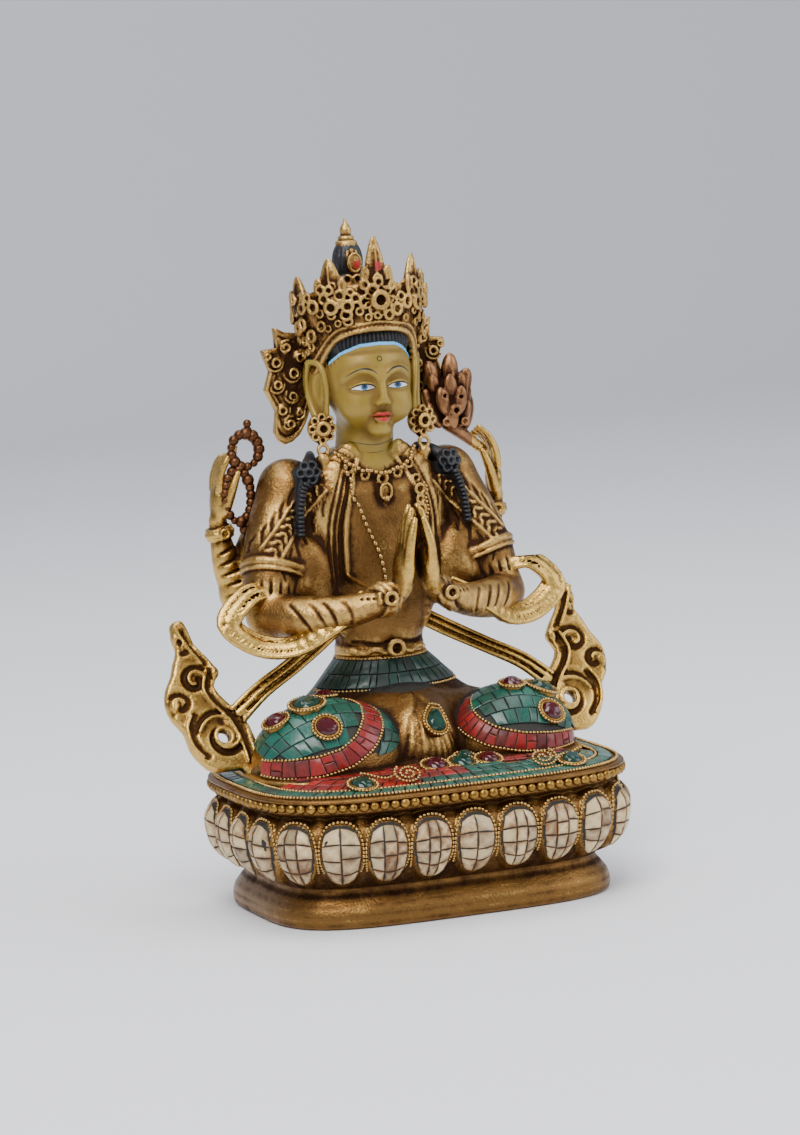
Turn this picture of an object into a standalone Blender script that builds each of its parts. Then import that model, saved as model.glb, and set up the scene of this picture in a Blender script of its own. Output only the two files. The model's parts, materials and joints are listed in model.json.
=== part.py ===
"""Four-armed seated bodhisattva of cast brass on an oval lotus seat, with inlay and set stones.

Metres, +Z up, the figure faces -Y, and the origin is the middle of the seat's flat underside.
"""

import math

import bmesh
import bpy
from mathutils import Matrix, Vector

# Lotus seat: its level sizes follow its width, and its rising sizes follow its height
SEAT_WIDTH = 0.125
SEAT_HEIGHT = 0.042
SEAT_UNIT = SEAT_WIDTH / 125
RISE_UNIT = SEAT_HEIGHT / 42
SEAT_DEPTH = 94 * SEAT_UNIT
SEAT_SQUARENESS = 3.5
SEAT_STATIONS = 40

# Outline from the foot to the rim as (outset, height), in seat units and rise units
SEAT_PROFILE = (
    (-6.1, -1.5),
    (-5.9, 0.6),
    (-4.9, 1.5),
    (-5.1, 5.25),
    (-7.9, 9.4),
    (-9.0, 12.5),
    (-4.5, 19.7),
    (-1.5, 27.9),
    (-1.2, 33.0),
    (-3.2, 35.2),
    (-1.6, 36.2),
    (1.3, 37.4),
    (1.3, 39.4),
    (-0.2, 40.6),
    (0.0, 42.0),
)

# Lotus petals round the seat
PETAL_COUNT = 26
PETAL_WIDTH = 15.2 * SEAT_UNIT
PETAL_DEPTH = 10.5 * SEAT_UNIT
PETAL_INSET = 2.7 * SEAT_UNIT
PETAL_LENGTH = 22.5 * RISE_UNIT
PETAL_MIDDLE = 24.8 * RISE_UNIT
PETAL_LEAN = math.radians(24)
BONE_THICKNESS = 0.0008

# Inlay and wire on top of the seat
FIELD_THICKNESS = 0.001
RIM_WIRE_RADIUS = 0.00075
CURL_WIRE_RADIUS = 0.0006
CORAL_THICKNESS = 0.0012
TURQUOISE_THICKNESS = 0.001
BEZEL_WALL = 0.0009
BEZEL_HEIGHT = 0.0014
LOBE_CUP_ROOT = 0.0025
FLAT_CUP_ROOT = 0.001
STONE_HEIGHT = 0.0022

# Gap kept between pieces that touch
CLEARANCE = 0.0003
BONE_CLEARANCE = 0.0004
SHELL_CLEARANCE = 0.0009
BEZEL_CLEARANCE = 0.0006
SKIRT_CLEARANCE = 0.0008

# Facets, and what is trimmed off below to leave each underside flat
TRIM = 0.0015
SEAT_TRIANGLES = 1780
FIGURE_TRIANGLES = 3750

# Figure: carved in units of its own, with its base at height nought, then set on the seat at the seat's scale
MODEL_UNIT = 0.001
FIGURE_FRAME = Matrix.Translation((0, 0, SEAT_HEIGHT + CLEARANCE)) @ Matrix.Scale(SEAT_UNIT / MODEL_UNIT, 4)
SKIRT_WIDTH_UNITS = 112
SKIRT_DEPTH_UNITS = 68
SKIRT_SHIFT_UNITS = 6
SKIRT_SQUARENESS = 3.2
SKIRT_THICKNESS = 0.0022

KNEE_CENTRES = {-1: (-29.5, 0, 4), 1: (33, 0, 4)}
KNEE_RADII = {-1: (25.5, 19, 20), 1: (22, 18.5, 18.5)}
HIP_SECTIONS = ((0.5, 42, 20, 18), (14, 36, 19, 22), (24, 24, 15.5, 24), (33, 15.2, 12.8, 26), (36, 14, 12.2, 26))
TORSO_SECTIONS = (
    (28, 13.5, 11.5, 25.5),
    (35, 14.2, 12.2, 26),
    (42, 15, 12.4, 26),
    (51, 18.5, 13, 27),
    (62, 22, 14, 27.5),
    (75, 24, 14.5, 28),
    (88, 25, 13.5, 29),
    (96, 21, 11.5, 30),
    (101, 11, 9, 30.5),
)

# Angle round each knee at which its coral hem ends
HEM_ENDS = {-1: -124, 1: -104}

# Stones: name, place as (x, y), radius. Those on a knee or on the feet take z from the surface there.
FEET_CENTRE = (0, 2, 6)
FEET_RADII = (14, 16, 15.5)
KNEE_STONES = {
    -1: (
        ("garnet_outer", (-47.0, -2.0), 3.4),
        ("emerald_top", (-37.0, -3.0), 4.4),
        ("garnet_top", (-28.5, 4.0), 3.1),
        ("garnet_front", (-35.0, -13.8), 3.5),
    ),
    1: (("garnet_top", (33.5, -3.5), 3.1), ("emerald_top", (43.8, -3.0), 4.2), ("garnet_front", (42.0, -13.6), 3.4)),
}
FEET_STONES = (("emerald_drop", (2.6, -11.4), 3.3),)
SKIRT_STONES = (
    ("garnet_centre", (-2.6, -23.3), 3.5),
    ("emerald_centre", (6.6, -23.3), 3.5),
    ("garnet_inner", (15.6, -23.3), 3.3),
    ("emerald_small", (10.8, -15.4), 2.7),
)
SEAT_STONES = (("emerald_front_right", (-32.5, -35.5), 3.5), ("emerald_front_left", (38.8, -35.5), 3.3))

# Curled wires on the field: name, middle as (x, y), direction of the curl
CURLS = (("curl_wire_right", (-17, -36.2), 1), ("curl_wire_left", (29, -36.2), -1))
CURL_SHAPE = ((-5, 1.6), (-2.8, 0.2), (-4.2, -1.4), (-2.2, -4.6), (2, -5.6), (5.4, -3.6), (5.8, 0.4), (7.6, 3.2))

# Crown: half-width and half-depth at shares of its height, outside going up and inside coming down
CROWN_STATIONS = 24
CROWN_MIDDLE_Y = 28.5
CROWN_WALL = ((0.0, 17.4, 16.6), (0.55, 20, 17.2), (1.0, 22.4, 17), (1.0, 20.6, 15.2), (0.5, 17.6, 15.4), (0.0, 15, 14.6))
CROWN_BACK = (128, 148)
CROWN_FRONT_RISE = (12, 9)
CROWN_LEAVES = ((0, 170), (42, 163), (-42, 163), (88, 157), (-88, 157))
CROWN_LEAF_FOOT = 146
CROWN_WING = (
    (13, 124), (16, 137), (24, 139.5), (27.5, 141), (27, 134.5), (32, 134), (29.5, 127), (31.5, 121), (28, 114),
    (29, 107), (25.5, 103), (20, 106), (16, 114),
)

# Scarf on each side: (x, y, z, half-width, half-thickness). The loop hangs lower on the right arm.
SCARF_LOOP = (
    (15, -2.5, 57, 2.6, 2),
    (26, -1, 51, 3.2, 1.9),
    (37, 4, 44.5, 3.3, 1.8),
    (48, 8.5, 45, 3.2, 1.8),
    (57, 11.5, 53, 2.8, 1.8),
    (50, 13, 60.5, 3, 1.8),
    (43, 15, 60, 3, 1.9),
    (38, 18, 55, 2.8, 2),
)
SCARF_DROP = {-1: (1.5, 3, 3, 3, 3, 3, 1.5, 0), 1: (0, 0, 0, 0, 0, 0, 0, 0)}
SCARF_BAND = (
    (12, 27, 46, 2.6, 1.5),
    (22, 22, 40, 2.6, 1.5),
    (34, 17, 33.5, 2.4, 1.4),
    (46, 14.5, 27, 2.6, 1.4),
    (57, 14, 18, 3.2, 1.5),
)
FLAME_OUTLINE = (
    (50, 0.5), (54.5, 0.5), (56.5, 4), (65, 4), (69, 7), (72, 12), (73, 18), (76, 22.5), (77.5, 28), (76, 33),
    (73.5, 37), (72, 41), (70, 45.5), (70.8, 50), (69, 54.5), (66.5, 55.5), (65, 52), (63.5, 46.5), (60, 41.5),
    (58, 37), (60, 32), (57.5, 27.5), (54, 23), (51, 18), (49.5, 9),
)
FLAME_THICKNESS = 4.4
FLAME_HOLE = (60, 15, 2.3)
FLAME_LEAN = math.radians(26)

MATERIALS = {
    "brass": ((0.45, 0.29, 0.12, 1), 0.38, 0.9),
    "wire": ((0.66, 0.47, 0.2, 1), 0.3, 0.95),
    "bone": ((0.78, 0.68, 0.52, 1), 0.45, 0.0),
    "turquoise": ((0.03, 0.27, 0.2, 1), 0.3, 0.0),
    "coral": ((0.5, 0.04, 0.03, 1), 0.35, 0.0),
    "garnet": ((0.2, 0.01, 0.03, 1), 0.08, 0.0),
    "emerald": ((0.02, 0.12, 0.08, 1), 0.08, 0.0),
}


def clear_scene():
    for obj in list(bpy.data.objects):
        bpy.data.objects.remove(obj)


def material(name):
    found = bpy.data.materials.get(name)
    if found:
        return found
    colour, roughness, metallic = MATERIALS[name]
    made = bpy.data.materials.new(name)
    made.use_nodes = True
    shader = made.node_tree.nodes["Principled BSDF"]
    shader.inputs["Base Color"].default_value = colour
    shader.inputs["Roughness"].default_value = roughness
    shader.inputs["Metallic"].default_value = metallic
    return made


def add_object(name, mesh, finish="brass"):
    obj = bpy.data.objects.new(name, mesh)
    bpy.data.collections["statue"].objects.link(obj)
    obj.data.materials.clear()
    obj.data.materials.append(material(finish))
    return obj


def object_from_bmesh(name, bm, finish="brass"):
    bmesh.ops.recalc_face_normals(bm, faces=bm.faces)
    mesh = bpy.data.meshes.new(name)
    bm.to_mesh(mesh)
    bm.free()
    mesh.shade_smooth()
    mesh.set_sharp_from_angle(angle=math.radians(35))
    return add_object(name, mesh, finish)


def plain_mesh(obj):
    """Replaces an object with the mesh that its modifiers or curve make, with its ends welded."""
    graph = bpy.context.evaluated_depsgraph_get()
    mesh = bpy.data.meshes.new_from_object(obj.evaluated_get(graph))
    mesh.transform(obj.matrix_world)
    bm = bmesh.new()
    bm.from_mesh(mesh)
    bmesh.ops.remove_doubles(bm, verts=bm.verts, dist=1e-6)
    bm.to_mesh(mesh)
    bm.free()
    name, finish = obj.name, obj.data.materials[0].name
    bpy.data.objects.remove(obj)
    return add_object(name, mesh, finish)


def in_figure(x, y, z):
    """A place on the figure in its own frame, where it is carved before it is set on the seat."""
    return Vector((x, y, z)) * MODEL_UNIT


def set_on_seat(obj):
    return placed(obj, FIGURE_FRAME)


def turned(turn):
    """The rotation by angles in degrees about X, then Y, then Z."""
    x, y, z = (math.radians(a) for a in turn)
    return Matrix.Rotation(z, 4, "Z") @ Matrix.Rotation(y, 4, "Y") @ Matrix.Rotation(x, 4, "X")


def ellipsoid(name, centre, radii, turn=(0, 0, 0), segments=12, rings=8):
    """A ball in figure units, stretched to its radii and then turned by angles in degrees."""
    bm = bmesh.new()
    bmesh.ops.create_uvsphere(bm, u_segments=segments, v_segments=rings, radius=1)
    rotation = turned(turn)
    stretch = Matrix.Diagonal([r * MODEL_UNIT for r in radii] + [1])
    bmesh.ops.transform(bm, matrix=Matrix.Translation(in_figure(*centre)) @ rotation @ stretch, verts=bm.verts)
    return object_from_bmesh(name, bm)


def smooth_path(points, steps):
    """Points along a smooth curve through the given ones (Catmull-Rom), each a tuple of any length."""
    path = []
    count = len(points)
    for i in range(count - 1):
        before, start, end, after = (points[max(i - 1, 0)], points[i], points[i + 1], points[min(i + 2, count - 1)])
        for step in range(steps):
            t = step / steps
            path.append(tuple(
                0.5 * (2 * b + (c - a) * t + (2 * a - 5 * b + 4 * c - d) * t**2 + (3 * b - a - 3 * c + d) * t**3)
                for a, b, c, d in zip(before, start, end, after)
            ))
    path.append(tuple(points[-1]))
    return path


def tube(name, places, finish="brass", sides=8, closed=False):
    """A round bar through (point, radius) pairs in metres."""
    curve = bpy.data.curves.new(name, "CURVE")
    curve.dimensions = "3D"
    curve.bevel_depth = 1.0
    curve.bevel_resolution = sides // 2 - 2
    curve.use_fill_caps = not closed
    spline = curve.splines.new("POLY")
    spline.points.add(len(places) - 1)
    for point, (place, radius) in zip(spline.points, places):
        point.co = (*place, 1)
        point.radius = radius
    spline.use_cyclic_u = closed
    return plain_mesh(add_object(name, curve, finish))


def limb(name, points, steps=3, sides=10):
    """A round limb through (x, y, z, radius) in figure units."""
    return tube(name, [(in_figure(*p[:3]), p[3] * MODEL_UNIT) for p in smooth_path(points, steps)], sides=sides)


def ring(name, centre, radii, thickness, turn=(0, 0, 0), count=14, sides=6):
    """A closed round wire on an ellipse, in figure units. It lies level before it is turned."""
    rotation = turned(turn)
    places = []
    for i in range(count):
        t = 2 * math.pi * i / count
        offset = rotation @ Vector((radii[0] * math.cos(t), radii[1] * math.sin(t), 0))
        places.append((in_figure(*(Vector(centre) + offset)), thickness * MODEL_UNIT))
    return tube(name, places, sides=sides, closed=True)


def loft(name, rings, finish="brass", cyclic_rings=False):
    """A closed skin over rings of equally many points. Its end rings are capped unless the rings close."""
    bm = bmesh.new()
    rows = [[bm.verts.new(p) for p in points] for points in rings]
    pairs = list(zip(rows, rows[1:]))
    if cyclic_rings:
        pairs.append((rows[-1], rows[0]))
    else:
        bm.faces.new(rows[0])
        bm.faces.new(rows[-1])
    for lower, upper in pairs:
        for i in range(len(lower)):
            j = (i + 1) % len(lower)
            bm.faces.new((lower[i], lower[j], upper[j], upper[i]))
    return object_from_bmesh(name, bm, finish)


def ellipse_loft(name, sections, count=20):
    """A loft over level ellipses given as (z, half-width, half-depth, y of the centre) in figure units."""
    turns = [2 * math.pi * i / count for i in range(count)]
    return loft(name, [
        [in_figure(rx * math.cos(t), cy + ry * math.sin(t), z) for t in turns] for z, rx, ry, cy in sections
    ])


def ribbon(name, points, steps=4):
    """A band through (x, y, z, half-width, half-thickness) in figure units. Its broad side faces front and up."""
    path = smooth_path(points, steps)
    rings = []
    for i, (x, y, z, half_width, half_thickness) in enumerate(path):
        before, after = path[max(i - 1, 0)], path[min(i + 1, len(path) - 1)]
        along = Vector(after[:3]) - Vector(before[:3])
        across = along.cross(Vector((0, -1, 0.35))).normalized() * half_width
        out = across.cross(along).normalized() * half_thickness
        centre = Vector((x, y, z))
        corners = ((1, 0.45), (0.8, 1), (-0.8, 1), (-1, 0.45), (-1, -0.45), (-0.8, -1), (0.8, -1), (1, -0.45))
        rings.append([in_figure(*(centre + across * a + out * b)) for a, b in corners])
    return loft(name, rings)


def flat_plate(name, outlines, thickness, finish="brass"):
    """A level plate filled between closed outlines of (x, y) in metres, centred on z = 0."""
    curve = bpy.data.curves.new(name, "CURVE")
    curve.dimensions = "2D"
    curve.fill_mode = "BOTH"
    curve.extrude = thickness / 2
    for outline in outlines:
        spline = curve.splines.new("POLY")
        spline.points.add(len(outline) - 1)
        for point, (x, y) in zip(spline.points, outline):
            point.co = (x, y, 0, 1)
        spline.use_cyclic_u = True
    return plain_mesh(add_object(name, curve, finish))


def placed(obj, matrix):
    obj.data.transform(matrix)
    return obj


def combine(operation, target, others):
    """Joins or cuts the target with the others and returns it as a plain mesh."""
    helpers = bpy.data.collections.new("helpers")
    for other in others:
        helpers.objects.link(other)
    modifier = target.modifiers.new("combine", "BOOLEAN")
    modifier.operation = operation
    modifier.operand_type = "COLLECTION"
    modifier.collection = helpers
    modifier.solver = "EXACT"
    modifier.use_self = True
    joined = plain_mesh(target)
    for other in others:
        bpy.data.objects.remove(other)
    bpy.data.collections.remove(helpers)
    return joined


def thin_out(obj, triangles):
    """Merges the smallest facets until about this many triangles are left."""
    obj.data.calc_loop_triangles()
    fewer = obj.modifiers.new("fewer", "DECIMATE")
    fewer.ratio = min(1.0, triangles / len(obj.data.loop_triangles))
    return plain_mesh(obj)


def rounded_oval(width, depth, squareness, count, middle_y=0.0):
    """Points at equal spacing round a rounded oblong, and the outward direction at each, starting at the front."""
    dense = 1440
    fine = []
    for i in range(dense):
        t = 2 * math.pi * i / dense - math.pi / 2
        c, s = math.cos(t), math.sin(t)
        x = width / 2 * math.copysign(abs(c) ** (2 / squareness), c)
        y = depth / 2 * math.copysign(abs(s) ** (2 / squareness), s)
        fine.append(Vector((x, y + middle_y)))
    lengths = [0.0]
    for i in range(dense):
        lengths.append(lengths[-1] + (fine[(i + 1) % dense] - fine[i]).length)
    points, index = [], 0
    for k in range(count):
        goal = lengths[-1] * k / count
        while lengths[index + 1] < goal:
            index += 1
        share = (goal - lengths[index]) / (lengths[index + 1] - lengths[index])
        points.append(fine[index].lerp(fine[(index + 1) % dense], share))
    normals = []
    for k in range(count):
        along = points[(k + 1) % count] - points[k - 1]
        normals.append(Vector((along.y, -along.x)).normalized())
    return points, normals


def seat_outline(outset, count=SEAT_STATIONS):
    """The seat's rim moved outwards by outset, as level points."""
    return rounded_oval(SEAT_WIDTH + 2 * outset, SEAT_DEPTH + 2 * outset, SEAT_SQUARENESS, count)


def skirt_outline(unit, outset=0.0, count=32):
    """The edge of the spread skirt at a unit of length, moved outwards by outset."""
    width = SKIRT_WIDTH_UNITS * unit + 2 * outset
    depth = SKIRT_DEPTH_UNITS * unit + 2 * outset
    return rounded_oval(width, depth, SKIRT_SQUARENESS, count, SKIRT_SHIFT_UNITS * unit)[0]


def seat_body():
    """The seat without its petals: foot, waist, drum, neck, rolled rim and flat top."""
    rings = []
    for outset, height in SEAT_PROFILE:
        points, _ = seat_outline(outset * SEAT_UNIT)
        rings.append([(p.x, p.y, height * RISE_UNIT) for p in points])
    return loft("lotus_seat", rings)


def petal_frames():
    """For each petal, the matrix that stands it on the drum: x across, y inwards, z up along the petal."""
    points, normals = seat_outline(-PETAL_INSET, PETAL_COUNT)
    frames = []
    for point, normal in zip(points, normals):
        inwards = Vector((-normal.x, -normal.y, 0))
        across = Vector((0, 0, 1)).cross(inwards) * -1
        stand = Matrix((across, inwards, Vector((0, 0, 1)))).transposed().to_4x4()
        lean = Matrix.Rotation(PETAL_LEAN, 4, "X")
        frames.append(Matrix.Translation((point.x, point.y, PETAL_MIDDLE)) @ stand @ lean)
    return frames


def petal(name, frame):
    bm = bmesh.new()
    bmesh.ops.create_uvsphere(bm, u_segments=8, v_segments=6, radius=0.5)
    size = Matrix.Diagonal((PETAL_WIDTH, PETAL_DEPTH, PETAL_LENGTH, 1))
    bmesh.ops.transform(bm, matrix=frame @ size, verts=bm.verts)
    return object_from_bmesh(name, bm)


def bone_inlay(name, frame):
    """The bone plate on a petal's face: a cut from the petal's own curve, moved out by the clearance."""
    bm = bmesh.new()
    columns, rows = 2, 3
    half_width, half_depth, half_length = PETAL_WIDTH / 2, PETAL_DEPTH / 2, PETAL_LENGTH / 2
    grid = []
    for j in range(rows + 1):
        v = -0.66 + 1.36 * j / rows
        reach = 0.7 * math.sqrt(1 - (abs(v) / 0.98) ** 3)
        row = []
        for i in range(columns + 1):
            u = reach * (2 * i / columns - 1)
            depth = math.sqrt(max(0.0, 1 - u * u - v * v))
            local = Vector((u * half_width, -depth * half_depth, v * half_length))
            away = Vector((u / half_width, -depth / half_depth, v / half_length)).normalized()
            row.append(bm.verts.new(frame @ (local + away * BONE_CLEARANCE)))
        grid.append(row)
    for lower, upper in zip(grid, grid[1:]):
        for i in range(columns):
            bm.faces.new((lower[i], lower[i + 1], upper[i + 1], upper[i]))
    return thickened(name, bm, BONE_THICKNESS, "bone", frame.to_3x3() @ Vector((0, -1, 0)))


def thickened(name, bm, thickness, finish, outwards):
    """Gives an open sheet a wall on its outer side."""
    bmesh.ops.recalc_face_normals(bm, faces=bm.faces)
    bm.normal_update()
    if sum((f.normal * f.calc_area() for f in bm.faces), Vector()).dot(outwards) < 0:
        bmesh.ops.reverse_faces(bm, faces=bm.faces)
    mesh = bpy.data.meshes.new(name)
    bm.to_mesh(mesh)
    bm.free()
    obj = add_object(name, mesh, finish)
    wall = obj.modifiers.new("wall", "SOLIDIFY")
    wall.thickness = thickness
    wall.offset = 1.0
    return plain_mesh(obj)


def cut_gem(name, radius, frame, finish, sides=8):
    """A cut stone: a low girdle and a crown that narrows to a flat table, standing on its frame's z."""
    turns = [math.tau * i / sides for i in range(sides)]
    rings = ((0.86 * radius, 0.0), (radius, 0.35 * STONE_HEIGHT), (0.55 * radius, STONE_HEIGHT))
    return loft(name, [[frame @ Vector((r * math.cos(t), r * math.sin(t), z)) for t in turns] for r, z in rings], finish)


def bezel(name, radius, frame, below=0.004, above=BEZEL_HEIGHT):
    """The solid cup that holds a stone, from below the surface to the stone's seat."""
    bm = bmesh.new()
    bmesh.ops.create_cone(
        bm,
        cap_ends=True,
        segments=8,
        radius1=radius,
        radius2=radius,
        depth=below + above,
        matrix=frame @ Matrix.Translation((0, 0, (above - below) / 2)),
    )
    return object_from_bmesh(name, bm)


def frame_on(point, normal):
    return Matrix.Translation(point) @ normal.to_track_quat("Z", "X").to_matrix().to_4x4()


def lobe_surface(centre, radii, x, y):
    """The point above (x, y) on a rounded lobe in figure units, and the outward direction there."""
    cx, cy, cz = centre
    a, b, c = radii
    u, v = (x - cx) / a, (y - cy) / b
    w = math.sqrt(max(0.02, 1 - u * u - v * v))
    return in_figure(x, y, cz + w * c), Vector((u / a, v / b, w / c)).normalized()


def stone_settings():
    """Every stone as (name, radius, frame of its seat, casting that carries it, depth of its cup's root)."""
    upright = Vector((0, 0, 1))
    settings = []
    for side, word in ((-1, "right"), (1, "left")):
        for name, (x, y), radius in KNEE_STONES[side]:
            point, normal = lobe_surface(KNEE_CENTRES[side], KNEE_RADII[side], x, y)
            frame = frame_on(point + normal * SHELL_CLEARANCE, normal)
            settings.append((f"{name}_{word}_knee", radius * MODEL_UNIT, frame, "figure", LOBE_CUP_ROOT))
    for name, (x, y), radius in FEET_STONES:
        point, normal = lobe_surface(FEET_CENTRE, FEET_RADII, x, y)
        settings.append((name, radius * MODEL_UNIT, frame_on(point, normal), "figure", LOBE_CUP_ROOT))
    for name, (x, y), radius in SKIRT_STONES:
        place = in_figure(x, y, 0) + Vector((0, 0, SKIRT_THICKNESS))
        settings.append((name, radius * MODEL_UNIT, frame_on(place, upright), "figure", FLAT_CUP_ROOT))
    for name, (x, y), radius in SEAT_STONES:
        place = Vector((x * SEAT_UNIT, y * SEAT_UNIT, SEAT_HEIGHT))
        settings.append((name, radius * SEAT_UNIT, frame_on(place, upright), "seat", FLAT_CUP_ROOT))
    return settings


def torso_and_neck():
    return [
        ellipse_loft("hips", HIP_SECTIONS, 24),
        ellipse_loft("torso", TORSO_SECTIONS, 20),
        limb("neck", ((0, 31, 95, 10.5), (0, 30, 101, 9.6), (0, 27.5, 112, 9)), steps=1, sides=12),
        ring("necklace", (0, 25.5, 98.5), (15, 13), 1.4, turn=(24, 0, 0), count=18),
        ellipsoid("pendant", (0, 13.4, 91), (2.6, 1.8, 3.2), segments=8, rings=6),
        ellipsoid("belt_clasp", (0, 13.4, 37.4), (2.6, 1.8, 2.6), segments=8, rings=6),
    ]


def legs():
    pieces = []
    for side in (-1, 1):
        pieces.append(ellipsoid("knee", KNEE_CENTRES[side], KNEE_RADII[side], segments=16, rings=10))
        pieces.append(ellipsoid("thigh", (side * 20, 14, 8), (20, 15, 14), segments=12, rings=8))
    pieces.append(ellipsoid("crossed_feet", FEET_CENTRE, FEET_RADII, segments=12, rings=8))
    return pieces


def front_arm(side):
    s = side
    return [
        ellipsoid("sleeve", (s * 26, 22, 60), (10, 8, 15), segments=8, rings=8),
        ellipsoid("shoulder", (s * 27.5, 29.5, 89.5), (9.5, 9.8, 9.5), segments=12, rings=8),
        limb("upper_arm", (
            (s * 28, 29, 90, 9),
            (s * 34, 26, 76, 9.8),
            (s * 38, 21.5, 62, 9.6),
            (s * 40.5, 17, 50, 7.4),
        ), steps=2),
        limb("forearm", (
            (s * 41.5, 17.5, 51, 7),
            (s * 33, 7, 50.5, 7),
            (s * 20, -2, 52, 5.6),
            (s * 8, -8.6, 56.5, 3.7),
            (s * 4.6, -9.4, 61, 2.9),
        ), steps=2),
        ring("armlet", (s * 36.7, 23.5, 67.5), (10, 10), 1.5, turn=(18, s * 18, 0), count=12),
        ring("bracelet", (s * 11, -7.4, 55.6), (5, 5), 1.4, turn=(0, 80, s * -30), count=10),
        ellipsoid("palm", (s * 4.2, -9.6, 66), (3.6, 6, 11), turn=(0, s * -6, 0), segments=8, rings=8),
        ellipsoid("fingers", (s * 3, -10.4, 74.5), (2.3, 5, 9.6), turn=(0, s * -7, 0), segments=8, rings=6),
        ellipsoid("thumb", (s * 2.6, -4.6, 69), (1.8, 2, 7.5), turn=(12, 0, 0), segments=6, rings=6),
    ]


def rear_arm(side):
    s = side
    return [
        limb("rear_upper_arm", ((s * 25, 36, 87, 7), (s * 35, 39, 72, 6.6), (s * 43, 40.5, 55, 5.8)), steps=3),
        limb("rear_forearm", ((s * 42, 40.5, 54, 5.4), (s * 45.8, 40, 64, 4.8), (s * 48.3, 39.2, 76, 3.3)), steps=2),
        ring("rear_bracelet", (s * 48.2, 39.2, 76), (4, 4), 1.2, turn=(0, s * 8, 0), count=10),
        ellipsoid("rear_palm", (s * 48.6, 38.2, 85), (2.4, 4.4, 9.5), turn=(0, s * 3, 0), segments=8, rings=8),
        limb("rear_fingers", ((s * 48.8, 37.4, 91, 3.2), (s * 47, 36.4, 98, 2.6), (s * 41.5, 35.5, 105, 1.7)), steps=2, sides=8),
        limb("rear_thumb", ((s * 47.5, 35, 84, 2), (s * 44.2, 33, 91, 1.8), (s * 42, 33, 96.5, 1.4)), steps=2, sides=6),
    ]


def rosary():
    """The string of beads in the figure's upper right hand: two loops and the large closing bead."""
    return [
        ring("beads_upper", (-39.8, 34, 102.5), (4.8, 5.4), 1.7, turn=(90, 0, 0), count=14),
        ring("beads_lower", (-43, 34, 88), (4.4, 8.6), 1.7, turn=(90, 0, 0), count=16),
        ellipsoid("closing_bead", (-38.6, 34, 110), (2.6, 2.6, 2.9), segments=8, rings=6),
        limb("bead_tail", ((-42.6, 34, 79.6, 1.8), (-40, 35, 74, 1.8), (-37.5, 36.5, 69, 1.8)), steps=1, sides=6),
    ]


def lotus_flower():
    """The open lotus in the figure's upper left hand, on its stem."""
    pieces = [
        limb("lotus_stem", ((44, 36, 96, 1.9), (37, 33, 101, 2.2), (30, 29.5, 106, 3)), steps=2, sides=6),
        ellipsoid("lotus_heart", (29.5, 29.5, 113), (7.5, 5.5, 9), segments=10, rings=8),
    ]
    leaves = ((36.5, 31, 110, 4), (35.5, 30, 118, 22), (31, 29.5, 123, 4), (25, 30, 121, -14))
    for x, y, z, lean in leaves:
        pieces.append(ellipsoid("lotus_leaf", (x, y, z), (3.2, 2.6, 7), turn=(0, lean, 0), segments=8, rings=6))
    return pieces


def head():
    """Head of calm, even proportions with long ears, ear flowers and drops."""
    pieces = [
        ellipsoid("skull", (0, 29, 125), (15.6, 16, 17), segments=14, rings=8),
        ellipsoid("hair_cap", (0, 28.5, 136), (16.8, 16, 9), segments=14, rings=6),
        ellipsoid("face", (0, 23.6, 117), (13.6, 11.6, 16.4), segments=14, rings=10),
        ellipsoid("nose", (0, 12.6, 116.5), (1.8, 2.4, 4.6), turn=(12, 0, 0), segments=6, rings=6),
    ]
    for s in (-1, 1):
        pieces += [
            ellipsoid("ear", (s * 15.6, 27.5, 118), (2.2, 4.4, 9.5), segments=8, rings=6),
            ellipsoid("ear_flower", (s * 17.2, 24, 108.5), (3.4, 4.8, 5.2), turn=(0, 0, s * 25), segments=10, rings=6),
            ellipsoid("ear_drop", (s * 17.6, 21.5, 98.5), (2.8, 2.8, 7), segments=8, rings=6),
            limb("shoulder_lock", (
                (s * 15, 33, 104, 3),
                (s * 24, 27, 98.5, 3.2),
                (s * 31, 22, 92, 3),
                (s * 34.5, 19.5, 80, 1.9),
            ), steps=2, sides=8),
        ]
    return pieces


def crown_ring(lift, half_width, half_depth):
    """A ring of the crown's wall, which stands higher at the front than at the back."""
    points = []
    for i in range(CROWN_STATIONS):
        t = 2 * math.pi * i / CROWN_STATIONS - math.pi / 2
        front = 0.5 - 0.5 * math.sin(t)
        low = CROWN_BACK[0] + CROWN_FRONT_RISE[0] * front**1.2
        high = CROWN_BACK[1] + CROWN_FRONT_RISE[1] * front
        y = CROWN_MIDDLE_Y + half_depth * math.sin(t)
        points.append(in_figure(half_width * math.cos(t), y, low + (high - low) * lift))
    return points


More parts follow.
